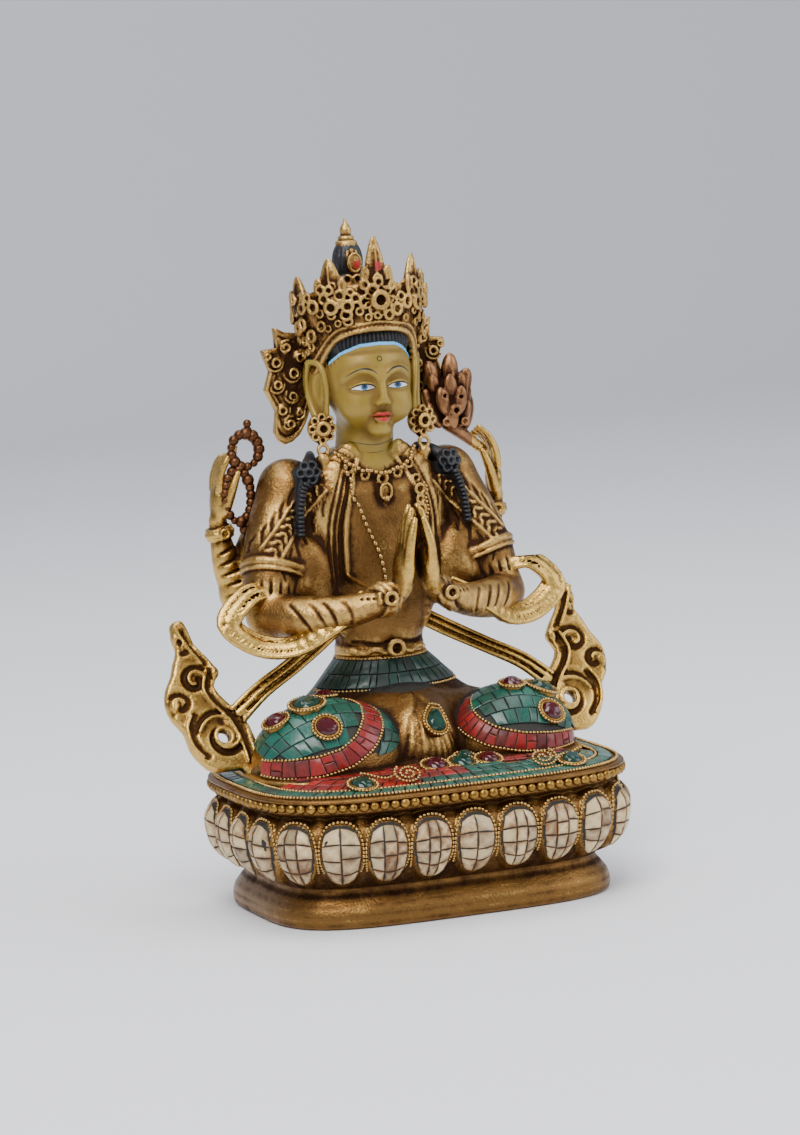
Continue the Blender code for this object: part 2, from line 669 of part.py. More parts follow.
def crown():
    """The five-leaved crown, the side ornaments and the tall knot of hair with its finial."""
    pieces = [loft("crown_band", [crown_ring(*row) for row in CROWN_WALL], cyclic_rings=True)]
    for turn, tip in CROWN_LEAVES:
        t = math.radians(turn)
        x, y = 21 * math.sin(t), CROWN_MIDDLE_Y - 15.8 * math.cos(t)
        pieces.append(limb("crown_leaf", (
            (x * 0.93, y + 0.6, CROWN_LEAF_FOOT, 3.6),
            (x, y, (CROWN_LEAF_FOOT + tip) / 2, 3.3),
            (x * 1.03, y - 0.4, tip - 1, 0.9),
        ), steps=2, sides=6))
    for s in (-1, 1):
        outline = [(s * x * MODEL_UNIT, z * MODEL_UNIT) for x, z in CROWN_WING]
        stand = Matrix.Translation(in_figure(0, 36, 0)) @ Matrix.Rotation(math.pi / 2, 4, "X")
        pieces.append(placed(flat_plate("crown_wing", [outline], 4 * MODEL_UNIT), stand))
    pieces += [
        ellipsoid("hair_bun", (0, 34.5, 149), (9.5, 8.5, 9), segments=12, rings=8),
        ellipsoid("hair_knot", (0, 36.5, 161), (5.3, 5.2, 7.4), segments=10, rings=8),
        limb("finial", ((0, 37, 166.5, 3.2), (0, 37, 168.5, 3.6), (0, 37, 171, 2.2), (0, 37, 175, 0.5)), steps=1, sides=8),
    ]
    return pieces


def flame(side):
    """The flame-shaped end of the scarf, a pierced plate that leans back."""
    hole_x, hole_z, hole_radius = FLAME_HOLE
    turns = [math.tau * i / 8 for i in range(8)]
    hole = [(hole_x + hole_radius * math.cos(t), hole_z + hole_radius * math.sin(t)) for t in turns]
    outlines = [[(side * x * MODEL_UNIT, z * MODEL_UNIT) for x, z in line] for line in (FLAME_OUTLINE, hole)]
    plate = flat_plate("flame", outlines, FLAME_THICKNESS * MODEL_UNIT)
    lean = Matrix.Rotation(math.pi / 2 - FLAME_LEAN, 4, "X")
    return placed(plate, Matrix.Translation(in_figure(0, 6, 0)) @ lean)


def scarf(side):
    """The scarf on one side: the curled loop over the arm, the lower band and the flame-shaped end."""
    loop = [
        (side * x, y, z - drop, half_width, half_thickness)
        for (x, y, z, half_width, half_thickness), drop in zip(SCARF_LOOP, SCARF_DROP[side])
    ]
    band = [(side * x, *rest) for x, *rest in SCARF_BAND]
    return [ribbon("scarf_loop", loop), ribbon("scarf_band", band), flame(side)]


def skirt_slab():
    """The skirt spread flat over the seat under the legs, which carries the figure's weight."""
    outline = [(p.x, p.y) for p in skirt_outline(MODEL_UNIT)]
    slab = flat_plate("skirt_slab", [outline], SKIRT_THICKNESS + TRIM)
    return placed(slab, Matrix.Translation((0, 0, (SKIRT_THICKNESS - TRIM) / 2)))


def with_bezels(casting, settings, carrier):
    cups = [
        bezel("bezel", radius + BEZEL_WALL, frame, root) for _, radius, frame, on, root in settings if on == carrier
    ]
    return combine("UNION", casting, cups)


def below(height, reach=0.2):
    """A block that fills all the space under a height, to trim a casting's underside flat."""
    bm = bmesh.new()
    bmesh.ops.create_cube(bm, size=1)
    block = Matrix.Translation((0, 0, height - reach / 2)) @ Matrix.Diagonal((2 * reach, 2 * reach, reach, 1))
    bmesh.ops.transform(bm, matrix=block, verts=bm.verts)
    return object_from_bmesh("below", bm)


def build_figure(settings):
    pieces = legs() + torso_and_neck() + head() + crown() + rosary() + lotus_flower()
    for side in (-1, 1):
        pieces += front_arm(side) + rear_arm(side) + scarf(side)
    body = combine("UNION", pieces[0], pieces[1:])
    body = combine("DIFFERENCE", body, [below(-TRIM)])
    body = thin_out(body, FIGURE_TRIANGLES)
    figure = with_bezels(combine("UNION", skirt_slab(), [body]), settings, "figure")
    figure = set_on_seat(combine("DIFFERENCE", figure, [below(0.0)]))
    figure.name = "figure"
    return figure


def build_seat(settings):
    petals = [petal("petal", frame) for frame in petal_frames()]
    seat = thin_out(combine("UNION", seat_body(), petals), SEAT_TRIANGLES)
    seat = with_bezels(combine("DIFFERENCE", seat, [below(0.0)]), settings, "seat")
    seat.name = "lotus_seat"
    return seat


def build_bone_inlays():
    for i, frame in enumerate(petal_frames()):
        bone_inlay(f"bone_petal_{i + 1:02d}", frame)


def build_seat_field(settings):
    """The turquoise field between the skirt and the rim, pierced for the bezels."""
    wire_room = 2 * RIM_WIRE_RADIUS + 3 * CLEARANCE
    outer = [(p.x, p.y) for p in seat_outline(-wire_room)[0]]
    inner = [(p.x, p.y) for p in skirt_outline(SEAT_UNIT, SKIRT_CLEARANCE)]
    field = flat_plate("turquoise_field", [outer, inner], FIELD_THICKNESS, "turquoise")
    placed(field, Matrix.Translation((0, 0, SEAT_HEIGHT + CLEARANCE + FIELD_THICKNESS / 2)))
    holes = [
        bezel("hole", radius + BEZEL_WALL + BEZEL_CLEARANCE, frame)
        for _, radius, frame, carrier, _ in settings
        if carrier == "seat"
    ]
    return combine("DIFFERENCE", field, holes)


def build_rim_wire():
    inset = RIM_WIRE_RADIUS + CLEARANCE
    height = SEAT_HEIGHT + CLEARANCE + RIM_WIRE_RADIUS
    places = [((p.x, p.y, height), RIM_WIRE_RADIUS) for p in seat_outline(-inset)[0]]
    return tube("rim_wire", places, "wire", sides=4, closed=True)


def build_curl_wires():
    """A curled wire on the field each side of the middle stones."""
    height = SEAT_HEIGHT + 2 * CLEARANCE + FIELD_THICKNESS + CURL_WIRE_RADIUS
    for name, (middle_x, middle_y), way in CURLS:
        places = []
        for x, y in smooth_path(CURL_SHAPE, 2):
            place = ((middle_x + way * x) * SEAT_UNIT, (middle_y + y) * SEAT_UNIT, height)
            places.append((place, CURL_WIRE_RADIUS))
        tube(name, places, "wire", sides=4)


def coral_hem(side, word):
    """The coral crescent in front of a knee, on the spread skirt."""
    cx, cy, _ = KNEE_CENTRES[side]
    a, b, _ = KNEE_RADII[side]
    start, end, count = math.radians(-10), math.radians(HEM_ENDS[side]), 9
    outer, inner = [], []
    for i in range(count + 1):
        share = i / count
        t = end + (start - end) * share
        swell = math.sin(math.pi * (0.08 + 0.84 * share)) ** 0.6
        reach = 1.07 + 0.3 * swell
        outer.append((cx + side * a * reach * math.cos(t), cy + b * reach * math.sin(t)))
        inner.append((cx + side * a * 1.065 * math.cos(t), cy + b * 1.065 * math.sin(t)))
    outline = [(x * MODEL_UNIT, y * MODEL_UNIT) for x, y in outer + inner[::-1]]
    hem = flat_plate(f"coral_hem_{word}", [outline], CORAL_THICKNESS, "coral")
    height = CLEARANCE + SKIRT_THICKNESS + CORAL_THICKNESS / 2
    return set_on_seat(placed(hem, Matrix.Translation((0, 0, height))))


def knee_panel(side, word, settings):
    """The turquoise shell over a knee, pierced for the bezels that stand on the knee."""
    a, b, c = KNEE_RADII[side]
    bm = bmesh.new()
    across, around = 7, 6
    grid = []
    for i in range(across + 1):
        u = -0.74 + 1.52 * i / across
        row = []
        for j in range(around + 1):
            t = math.radians(3 + 99 * j / around)
            r = math.sqrt(max(0.0, 1 - u * u))
            local = Vector((side * u * a, -r * b * math.cos(t), r * c * math.sin(t)))
            away = Vector((side * u / a, -r * math.cos(t) / b, r * math.sin(t) / c)).normalized()
            row.append(bm.verts.new(in_figure(*(Vector(KNEE_CENTRES[side]) + local)) + away * SHELL_CLEARANCE))
        grid.append(row)
    for lower, upper in zip(grid, grid[1:]):
        for j in range(around):
            bm.faces.new((lower[j], lower[j + 1], upper[j + 1], upper[j]))
    panel = thickened(f"turquoise_knee_{word}", bm, TURQUOISE_THICKNESS, "turquoise", Vector((0, -1, 1)))
    holes = [
        bezel("hole", radius + BEZEL_WALL + BEZEL_CLEARANCE, frame, above=0.006)
        for name, radius, frame, _, _ in settings
        if name.endswith(f"{word}_knee")
    ]
    return set_on_seat(combine("DIFFERENCE", panel, holes))


def build_waistband():
    """The turquoise band round the front of the waist, over the top of the hips."""
    turns = [math.radians(195 + 15 * i) for i in range(11)]
    bm = bmesh.new()
    rows = []
    for z, rx, ry, cy in HIP_SECTIONS[2:4]:
        row = []
        for t in turns:
            away = Vector((math.cos(t) / rx, math.sin(t) / ry, 0.06)).normalized()
            row.append(bm.verts.new(in_figure(rx * math.cos(t), cy + ry * math.sin(t), z) + away * SHELL_CLEARANCE))
        rows.append(row)
    for lower, upper in zip(rows, rows[1:]):
        for i in range(len(lower) - 1):
            bm.faces.new((lower[i], lower[i + 1], upper[i + 1], upper[i]))
    return set_on_seat(thickened("turquoise_waistband", bm, TURQUOISE_THICKNESS, "turquoise", Vector((0, -1, 0))))


def build_stones(settings):
    for name, radius, frame, carrier, _ in settings:
        finish = "garnet" if name.startswith("garnet") else "emerald"
        gem = cut_gem(name, radius, frame @ Matrix.Translation((0, 0, BEZEL_HEIGHT + CLEARANCE)), finish)
        if carrier == "figure":
            set_on_seat(gem)


def main():
    clear_scene()
    statue = bpy.data.collections.new("statue")
    bpy.context.scene.collection.children.link(statue)
    settings = stone_settings()
    build_figure(settings)
    build_seat(settings)
    build_bone_inlays()
    build_seat_field(settings)
    build_rim_wire()
    build_curl_wires()
    for side, word in ((-1, "right"), (1, "left")):
        coral_hem(side, word)
        knee_panel(side, word, settings)
    build_waistband()
    build_stones(settings)


main()
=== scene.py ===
"""Looks of a four-armed seated bodhisattva: cast brass with mosaic, set stones and a painted face."""

from __future__ import annotations

import json
import logging
import math
from dataclasses import dataclass, field
from enum import Enum
from typing import Callable, Iterable, Sequence

import bpy
import numpy as np
from mathutils import Matrix, Vector
from mathutils.bvhtree import BVHTree

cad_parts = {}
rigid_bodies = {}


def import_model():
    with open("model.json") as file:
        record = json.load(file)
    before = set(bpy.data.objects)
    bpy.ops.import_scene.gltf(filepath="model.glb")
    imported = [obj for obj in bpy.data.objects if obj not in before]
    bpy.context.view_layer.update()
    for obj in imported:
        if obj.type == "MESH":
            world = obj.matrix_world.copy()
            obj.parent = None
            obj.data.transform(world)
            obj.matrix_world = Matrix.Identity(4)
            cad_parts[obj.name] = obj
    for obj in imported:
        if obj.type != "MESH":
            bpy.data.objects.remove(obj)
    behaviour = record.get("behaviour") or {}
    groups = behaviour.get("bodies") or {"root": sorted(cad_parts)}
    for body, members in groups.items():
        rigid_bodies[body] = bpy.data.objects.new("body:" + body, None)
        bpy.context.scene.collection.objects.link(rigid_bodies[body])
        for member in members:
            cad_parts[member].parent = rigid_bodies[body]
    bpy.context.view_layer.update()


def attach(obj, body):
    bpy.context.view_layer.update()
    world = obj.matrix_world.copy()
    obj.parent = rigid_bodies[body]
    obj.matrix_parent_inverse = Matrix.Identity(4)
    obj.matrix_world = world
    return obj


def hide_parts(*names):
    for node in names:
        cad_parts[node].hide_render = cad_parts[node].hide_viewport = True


logging.basicConfig(level=logging.INFO, format="%(levelname)s %(message)s")
log = logging.getLogger("statue")

MM = 0.001
SEAT_TOP = 42.0
FIGURE_FLOOR = 42.3
SEED = 11

Path = Sequence[Sequence[float]]
Shape = Callable[[np.ndarray, np.ndarray, np.ndarray], np.ndarray]


class Quality(Enum):
    """Voxel sizes, as a factor on each piece's own."""

    FINAL = 1.0
    QUICK = 1.7


class Side(Enum):
    """The figure's own right (-X) and left (+X)."""

    RIGHT = -1
    LEFT = 1


@dataclass(frozen=True)
class Finish:
    """Colours and gloss of one surface.

    Args:
        name: name of the material.
        base: main colour, linear.
        dark: colour in the hollows, for grime and painted shade.
        bright: colour on crests, for wear and a painted highlight.
        roughness: mean roughness.
        metallic: share of bare metal.
        grain: size of the colour variation, in units per metre.
        bump: depth of the fine surface grain, in metres.
        coat: weight of the polish on top.
        grime: relief given to a tile's foot, shoulder, edge and middle, where low values darken with grime.
    """

    name: str
    base: tuple[float, float, float]
    dark: tuple[float, float, float]
    bright: tuple[float, float, float]
    roughness: float = 0.4
    metallic: float = 0.0
    grain: float = 220.0
    bump: float = 0.0001
    coat: float = 0.0
    grime: tuple[float, float, float, float] = (-0.7, -0.4, -0.06, 0.15)


GOLD = Finish(
    "antique_gold", (0.27, 0.148, 0.034), (0.052, 0.023, 0.009), (0.72, 0.46, 0.12), 0.35, 1.0, 190,
    0.00026
)
BRONZE = Finish(
    "dark_gold", (0.200, 0.102, 0.030), (0.045, 0.020, 0.010), (0.66, 0.42, 0.13), 0.37, 1.0, 230, 0.00040
)
COPPER = Finish(
    "dark_copper", (0.110, 0.045, 0.020), (0.025, 0.010, 0.006), (0.38, 0.19, 0.085), 0.42, 1.0, 240,
    0.00014
)
WIRE = Finish(
    "worn_wire", (0.46, 0.29, 0.10), (0.05, 0.022, 0.010), (0.85, 0.62, 0.28), 0.3, 1.0, 500, 0.00003
)
SKIN = Finish(
    "painted_gold", (0.27, 0.175, 0.022), (0.20, 0.115, 0.016), (0.32, 0.215, 0.036), 0.44, 0.25, 90,
    0.00002
)
HAIR = Finish(
    "black_paint", (0.004, 0.0045, 0.006), (0.002, 0.002, 0.003), (0.012, 0.013, 0.018), 0.5, 0.0, 300,
    0.00004
)
HAIRLINE = Finish(
    "pale_blue_paint", (0.13, 0.46, 0.78), (0.08, 0.34, 0.60), (0.24, 0.60, 0.86), 0.55, 0.0
)
LIPS = Finish("red_paint", (0.36, 0.012, 0.010), (0.26, 0.008, 0.007), (0.44, 0.02, 0.016), 0.4, 0.0)
EYE_WHITE = Finish("white_paint", (0.72, 0.76, 0.80), (0.5, 0.55, 0.6), (0.85, 0.88, 0.9), 0.4, 0.0)
IRIS = Finish("blue_paint", (0.03, 0.13, 0.30), (0.02, 0.08, 0.2), (0.06, 0.2, 0.4), 0.35, 0.0)
INK = Finish("dark_ink", (0.014, 0.010, 0.010), (0.008, 0.006, 0.006), (0.03, 0.02, 0.02), 0.5, 0.0)
GROUT = Finish(
    "dark_joint", (0.016, 0.015, 0.011), (0.006, 0.005, 0.004), (0.05, 0.04, 0.03), 0.75, 0.0, 400,
    0.00008
)
TURQUOISE = Finish(
    "turquoise", (0.004, 0.088, 0.060), (0.008, 0.026, 0.018), (0.012, 0.22, 0.155), 0.3, 0.0, 170,
    0.00005, 0.2, (-0.9, -0.55, -0.15, 0.12)
)
DARK_TURQUOISE = Finish(
    "dark_turquoise", (0.008, 0.035, 0.026), (0.008, 0.014, 0.010), (0.015, 0.08, 0.06), 0.4, 0.0, 170,
    0.00004, 0.1
)
CORAL = Finish(
    "coral", (0.25, 0.010, 0.008), (0.06, 0.008, 0.006), (0.42, 0.022, 0.016), 0.34, 0.0, 190, 0.00005,
    0.15, (-0.9, -0.55, -0.15, 0.1)
)
BONE = Finish(
    "bone", (0.60, 0.455, 0.235), (0.16, 0.066, 0.018), (0.82, 0.72, 0.47), 0.36, 0.0, 150, 0.00003, 0.12,
    (-1.0, -0.75, -0.34, 0.06)
)
GARNET = Finish(
    "garnet", (0.050, 0.0015, 0.005), (0.03, 0.001, 0.003), (0.11, 0.003, 0.010), 0.06, 0.0, 200, 0.0, 0.0
)
EMERALD = Finish(
    "emerald", (0.004, 0.030, 0.020), (0.003, 0.012, 0.008), (0.012, 0.080, 0.05), 0.06, 0.0, 200, 0.0,
    0.0
)
STUDIO = Finish("studio_grey", (0.84, 0.85, 0.885), (0.84, 0.85, 0.885), (0.84, 0.85, 0.885), 0.85, 0.0)


def rotation(turn: Sequence[float]) -> np.ndarray:
    """Matrix of turns about X, then Y, then Z, in degrees."""
    x, y, z = (math.radians(a) for a in turn)
    return np.array(
        Matrix.Rotation(z, 3, "Z") @ Matrix.Rotation(y, 3, "Y") @ Matrix.Rotation(x, 3, "X"), np.float32
    )


def smooth_path(points: Path, steps: int = 4, closed: bool = False) -> np.ndarray:
    """Points on a smooth curve through the given rows, which may carry more than three numbers."""
    p = np.array(points, float)
    n = len(p)
    rows = []
    for i in range(n if closed else n - 1):
        if closed:
            a, b, c, d = p[i - 1], p[i], p[(i + 1) % n], p[(i + 2) % n]
        else:
            a, b, c, d = p[max(i - 1, 0)], p[i], p[i + 1], p[min(i + 2, n - 1)]
        for t in np.arange(steps) / steps:
            rows.append(
                0.5 * (
                    2 * b + (c - a) * t + (
                        2 * a - 5 * b + 4 * c - d
                    ) * t**2 + (3 * b - a - 3 * c + d) * t**3
                )
            )
    if not closed:
        rows.append(p[-1])
    return np.array(rows)


def mirrored(points: Path, side: Side) -> list[tuple[float, ...]]:
    """The points with x given a side."""
    return [(side.value * p[0], *p[1:]) for p in points]


class Field:
    """A block of space holding the distance to a sculpted surface, negative inside, in millimetres.

    Args:
        low: lowest corner.
        high: highest corner.
        step: distance between samples.
    """

    FAR = 5.0

    def __init__(self, low: Sequence[float], high: Sequence[float], step: float) -> None:
        self.step = step
        self.low = np.array(low, np.float32)
        size = np.ceil((np.array(high, float) - self.low) / step).astype(int) + 1
        self.value = np.full(size, self.FAR, np.float32)

    def block(self, low: np.ndarray, high: np.ndarray) -> tuple[tuple[slice, ...], list[np.ndarray]]:
        """Index ranges and open coordinate grids of the part of the block between two corners."""
        cuts, grids = [], []
        for axis in range(3):
            a = max(0, int((low[axis] - self.low[axis]) / self.step))
            b = min(self.value.shape[axis], int((high[axis] - self.low[axis]) / self.step) + 2)
            cuts.append(slice(a, max(a, b)))
            line = self.low[axis] + self.step * np.arange(a, max(a, b), dtype=np.float32)
            shape = [1, 1, 1]
            shape[axis] = -1
            grids.append(line.reshape(shape))
        return tuple(cuts), grids

    def merge(
        self, shape: Shape, low: Sequence[float], high: Sequence[float], blend: float = 0.0,
        carve: bool = False
    ) -> None:
        """Adds a shape, or takes it away, with a soft joint of the width of blend."""
        pad = blend + 2 * self.step
        cut, (x, y, z) = self.block(np.array(low) - pad, np.array(high) + pad)
        old = self.value[cut]
        if old.size == 0:
            return
        new = shape(x, y, z).astype(np.float32)
        if carve:
            old, new = -old, new
        if blend > 0:
            h = np.maximum(blend - np.abs(old - new), 0) / blend
            out = np.minimum(old, new) - h * h * blend / 4
        else:
            out = np.minimum(old, new)
        self.value[cut] = -out if carve else out

    def ball(
        self, centre: Sequence[float], radii: Sequence[float], turn: Sequence[float] = (0, 0, 0),
        blend: float = 1.0, carve: bool = False
    ) -> None:
        """An ellipsoid."""
        spin = rotation(turn).T
        r = np.array(radii, np.float32)

        def shape(x: np.ndarray, y: np.ndarray, z: np.ndarray) -> np.ndarray:
            dx, dy, dz = x - centre[0], y - centre[1], z - centre[2]
            a = spin[0, 0] * dx + spin[0, 1] * dy + spin[0, 2] * dz
            b = spin[1, 0] * dx + spin[1, 1] * dy + spin[1, 2] * dz
            c = spin[2, 0] * dx + spin[2, 1] * dy + spin[2, 2] * dz
            near = np.sqrt((a / r[0]) ** 2 + (b / r[1]) ** 2 + (c / r[2]) ** 2)
            slope = np.sqrt((a / r[0] ** 2) ** 2 + (b / r[1] ** 2) ** 2 + (c / r[2] ** 2) ** 2) + 1e-6
            return near * (near - 1) / slope

        reach = max(radii)
        self.merge(shape, np.array(centre) - reach, np.array(centre) + reach, blend, carve)

    def limb(
        self,
        points: Path,
        blend: float = 1.0,
        carve: bool = False,
        steps: int = 4,
        closed: bool = False,
        thin: tuple[float, float, float] | None = None,
        squash: float = 1.0,
    ) -> None:
        """A bar through (x, y, z, radius). A squash above 1 flattens it along the direction thin."""
        path = smooth_path(points, steps, closed) if steps > 1 else np.array(points, float)
        if closed:
            path = np.vstack([path, path[:1]])
        path = path.astype(np.float32)
        axis = None
        if thin is not None:
            axis = np.array(thin, np.float32)
            axis /= np.linalg.norm(axis)
        low = (path[:, :3] - path[:, 3:]).min(0)
        high = (path[:, :3] + path[:, 3:]).max(0)

        def shape(x: np.ndarray, y: np.ndarray, z: np.ndarray) -> np.ndarray:
            best = np.full(np.broadcast_shapes(x.shape, y.shape, z.shape), self.FAR * 2, np.float32)
            for start, end in zip(path[:-1], path[1:]):
                way = end[:3] - start[:3]
                length = float(way @ way) + 1e-9
                dx, dy, dz = x - start[0], y - start[1], z - start[2]
                t = np.clip((dx * way[0] + dy * way[1] + dz * way[2]) / length, 0, 1)
                dx, dy, dz = dx - t * way[0], dy - t * way[1], dz - t * way[2]
                apart = dx * dx + dy * dy + dz * dz
                if axis is not None:
                    along = dx * axis[0] + dy * axis[1] + dz * axis[2]
                    apart = apart + (squash * squash - 1) * along * along
                d = np.sqrt(apart) - (start[3] + t * (end[3] - start[3]))
                np.minimum(best, d, out=best)
            return best

        self.merge(shape, low, high, blend, carve)

    def ring(
        self, centre: Sequence[float], across: tuple[float, float], radius: float,
        turn: Sequence[float] = (0, 0, 0), blend: float = 0.3, carve: bool = False, count: int = 14
    ) -> None:
        """A closed bar on an ellipse that lies level before it is turned."""
        spin = rotation(turn)
        t = np.linspace(0, math.tau, count, endpoint=False)
        flat = np.stack([across[0] * np.cos(t), across[1] * np.sin(t), np.zeros(count)])
        spots = (spin @ flat).T + np.array(centre)
        self.limb(np.c_[spots, np.full(count, radius)], blend, carve, 1, True)

    def boss(
        self, centre: Sequence[float], turn: Sequence[float], size: float, blend: float = 0.2
    ) -> None:
        """A raised ring with a sunk middle, as a setting without its stone."""
        self.ball(centre, (size, size, size * 0.7), turn, blend)
        out = rotation(turn) @ np.array([0, 0, size * 0.45])
        self.ring(np.array(centre) + out, (size * 0.85, size * 0.85), size * 0.34, turn, 0.1, count=12)
        self.ball(np.array(centre) + out * 1.5, (size * 0.56, size * 0.56, size * 0.8), turn, 0.1, True)

    def column(self, sections: Path, blend: float = 1.0) -> None:
        """A body of level ellipses, given as (z, half-width, half-depth, y of the centre)."""
        s = np.array(sections, float)
        s = s[np.argsort(s[:, 0])]

        def shape(x: np.ndarray, y: np.ndarray, z: np.ndarray) -> np.ndarray:
            flat = z.ravel()
            a, b, c = (np.interp(flat, s[:, 0], s[:, k]).reshape(z.shape) for k in (1, 2, 3))
            near = np.sqrt((x / a) ** 2 + ((y - c) / b) ** 2) + 1e-6
            slope = np.sqrt((x / a**2) ** 2 + ((y - c) / b**2) ** 2) + 1e-6
            side = near * (near - 1) / slope
            return np.maximum(side, np.maximum(s[0, 0] - z, z - s[-1, 0]))

        reach = s[:, 1].max(), s[:, 2].max()
        low = (-reach[0], s[:, 3].min() - reach[1], s[0, 0])
        high = (reach[0], s[:, 3].max() + reach[1], s[-1, 0])
        self.merge(shape, low, high, blend)

    def plate(
        self, outline: Path, middle: Sequence[float], lean: float, thickness: float, soft: float = 0.8,
        blend: float = 0.5, side: Side = Side.LEFT
    ) -> None:
        """An upright plate filled inside an outline of (x, height), leaning back by an angle in radians."""
        o = np.array(outline, float)
        o[:, 0] *= side.value
        cos, sin = math.cos(lean), math.sin(lean)

        def shape(x: np.ndarray, y: np.ndarray, z: np.ndarray) -> np.ndarray:
            u = x - middle[0]
            up = (z - middle[2]) * cos + (y - middle[1]) * sin
            off = (y - middle[1]) * cos - (z - middle[2]) * sin
            u, up, off = np.broadcast_arrays(u, up, off)
            best = np.full(u.shape, 1e6, np.float32)
            odd = np.zeros(u.shape, bool)
            for (ax, ay), (bx, by) in zip(o, np.roll(o, -1, 0)):
                ex, ey = bx - ax, by - ay
                wx, wy = u - ax, up - ay
                t = np.clip((wx * ex + wy * ey) / (ex * ex + ey * ey + 1e-9), 0, 1)
                best = np.minimum(best, (wx - t * ex) ** 2 + (wy - t * ey) ** 2)
                if ay != by:
                    odd ^= ((ay > up) != (by > up)) & (u < ax + (up - ay) * (bx - ax) / (by - ay))
            flat = np.sqrt(best) * np.where(odd, -1, 1) + soft
            deep = np.abs(off) - thickness / 2 + soft
            return np.minimum(np.maximum(flat, deep), 0) + np.hypot(
                np.maximum(flat, 0), np.maximum(deep, 0)
            ) - soft

        reach = o[:, 1].max()
        low = (
            middle[0] + o[:, 0].min(), middle[1] + min(0, o[:, 1].min() * sin) - thickness,
            middle[2] + o[:, 1].min() * cos - thickness
        )
        high = (
            middle[0] + o[:, 0].max(), middle[1] + reach * sin + thickness,
            middle[2] + reach * cos + thickness
        )
        self.merge(shape, low, high, blend)

    def front(self, x: float, z: float, lift: float = 0.0) -> float:
        """How far forward the surface stands at a place across and up, less lift."""
        i, k = (int(round((c - self.low[a]) / self.step)) for a, c in ((0, x), (2, z)))
        row = self.value[
            min(max(i, 0), self.value.shape[0] - 1), :, min(max(k, 0), self.value.shape[2] - 1)
        ]
        inside = np.flatnonzero(row < 0)
        if not len(inside) or inside[0] == 0:
            return float(self.low[1])
        j = inside[0]
        share = row[j - 1] / (row[j - 1] - row[j])
        return float(self.low[1] + self.step * (j - 1 + share)) - lift

    def trace(self, rows: Path, blend: float = 0.3, carve: bool = False, lift: float = 0.0) -> None:
        """A bar laid along the front of the surface through (x, z, radius)."""
        path = smooth_path(rows, 4)
        self.limb([(x, self.front(x, z, lift), z, r) for x, z, r in path], blend, carve, 1)

    @staticmethod
    def _soften(value: np.ndarray, passes: int) -> np.ndarray:
        for _ in range(passes):
            for axis in range(3):
                value = value.swapaxes(0, axis)
                out = value.copy()
                out[1:-1] = 0.25 * (value[:-2] + value[2:]) + 0.5 * value[1:-1]
                value = out.swapaxes(0, axis)
        return value

    def skin(self) -> tuple[np.ndarray, np.ndarray, np.ndarray]:
        """The surface as points, quads, and each point's relief from -1 (hollow) to 1 (crest)."""
        v = self.value
        inside = v < 0
        n = np.array(v.shape) - 1
        corners = [(a, b, c) for a in (0, 1) for b in (0, 1) for c in (0, 1)]
        count = np.zeros(n, np.int8)
        for a, b, c in corners:
            count += inside[a : a + n[0], b : b + n[1], c : c + n[2]]
        cell = (count > 0) & (count < 8)
        spots = np.argwhere(cell)
        index = np.full(n, -1, np.int64)
        index[cell] = np.arange(len(spots))
        total = np.zeros((len(spots), 3))
        hits = np.zeros(len(spots))
        at = {c: v[spots[:, 0] + c[0], spots[:, 1] + c[1], spots[:, 2] + c[2]] for c in corners}
        for a in corners:
            for axis in range(3):
                if a[axis]:
                    continue
                b = tuple(1 if k == axis else a[k] for k in range(3))
                crossing = (at[a] < 0) != (at[b] < 0)
                share = at[a][crossing] / (at[a][crossing] - at[b][crossing])
                point = np.tile(np.array(a, float), (len(share), 1))
                point[:, axis] += share
                total[crossing] += point
                hits[crossing] += 1
        points = self.low + self.step * (spots + total / hits[:, None])
        faces = []
        for axis in range(3):
            u, w = [(1, 2), (2, 0), (0, 1)][axis]
            near = [slice(1, -1)] * 3
            far = [slice(1, -1)] * 3
            near[axis], far[axis] = slice(0, -1), slice(1, None)
            change = np.argwhere(inside[tuple(near)] != inside[tuple(far)])
            for k in (u, w):
                change[:, k] += 1
            rows = []
            for du, dw in ((1, 1), (0, 1), (0, 0), (1, 0)):
                s = change.copy()
                s[:, u] -= du
                s[:, w] -= dw
                rows.append(index[s[:, 0], s[:, 1], s[:, 2]])
            quads = np.stack(rows, 1)
            outward = inside[change[:, 0], change[:, 1], change[:, 2]]
            quads[~outward] = quads[~outward][:, ::-1]
            faces.append(quads)
        near_soft = self._soften(v, 3)
        wide_soft = self._soften(near_soft, 9)
        relief = np.zeros(len(spots))
        for a, b, c in corners:
            place = (spots[:, 0] + a, spots[:, 1] + b, spots[:, 2] + c)
            relief += 1.0 * (near_soft[place] - v[place]) + 0.45 * (wide_soft[place] - near_soft[place])
        relief = np.clip(relief / 8 / self.step * 4.2, -1, 1)
        return points, np.concatenate(faces), relief


def new_mesh(
    name: str, points: np.ndarray, faces: np.ndarray | list, floor: float = 0.0
) -> bpy.types.Object:
    """A mesh object from points in millimetres, with faces as an even array or a list of tuples."""
    mesh = bpy.data.meshes.new(name)
    p = np.array(points, float).copy()
    p[:, 2] += floor
    if isinstance(faces, list):
        mesh.from_pydata((p * MM).tolist(), [], faces)
    else:
        sides = faces.shape[1]
        mesh.vertices.add(len(p))
        mesh.vertices.foreach_set("co", (p * MM).astype(np.float32).ravel())
        mesh.loops.add(faces.size)
        mesh.loops.foreach_set("vertex_index", faces.astype(np.int32).ravel())
        mesh.polygons.add(len(faces))
        mesh.polygons.foreach_set("loop_start", np.arange(0, faces.size, sides, dtype=np.int32))
        mesh.update(calc_edges=True)
    mesh.validate()
    obj = bpy.data.objects.new(name, mesh)
    bpy.context.scene.collection.objects.link(obj)
    mesh.shade_smooth()
    return obj


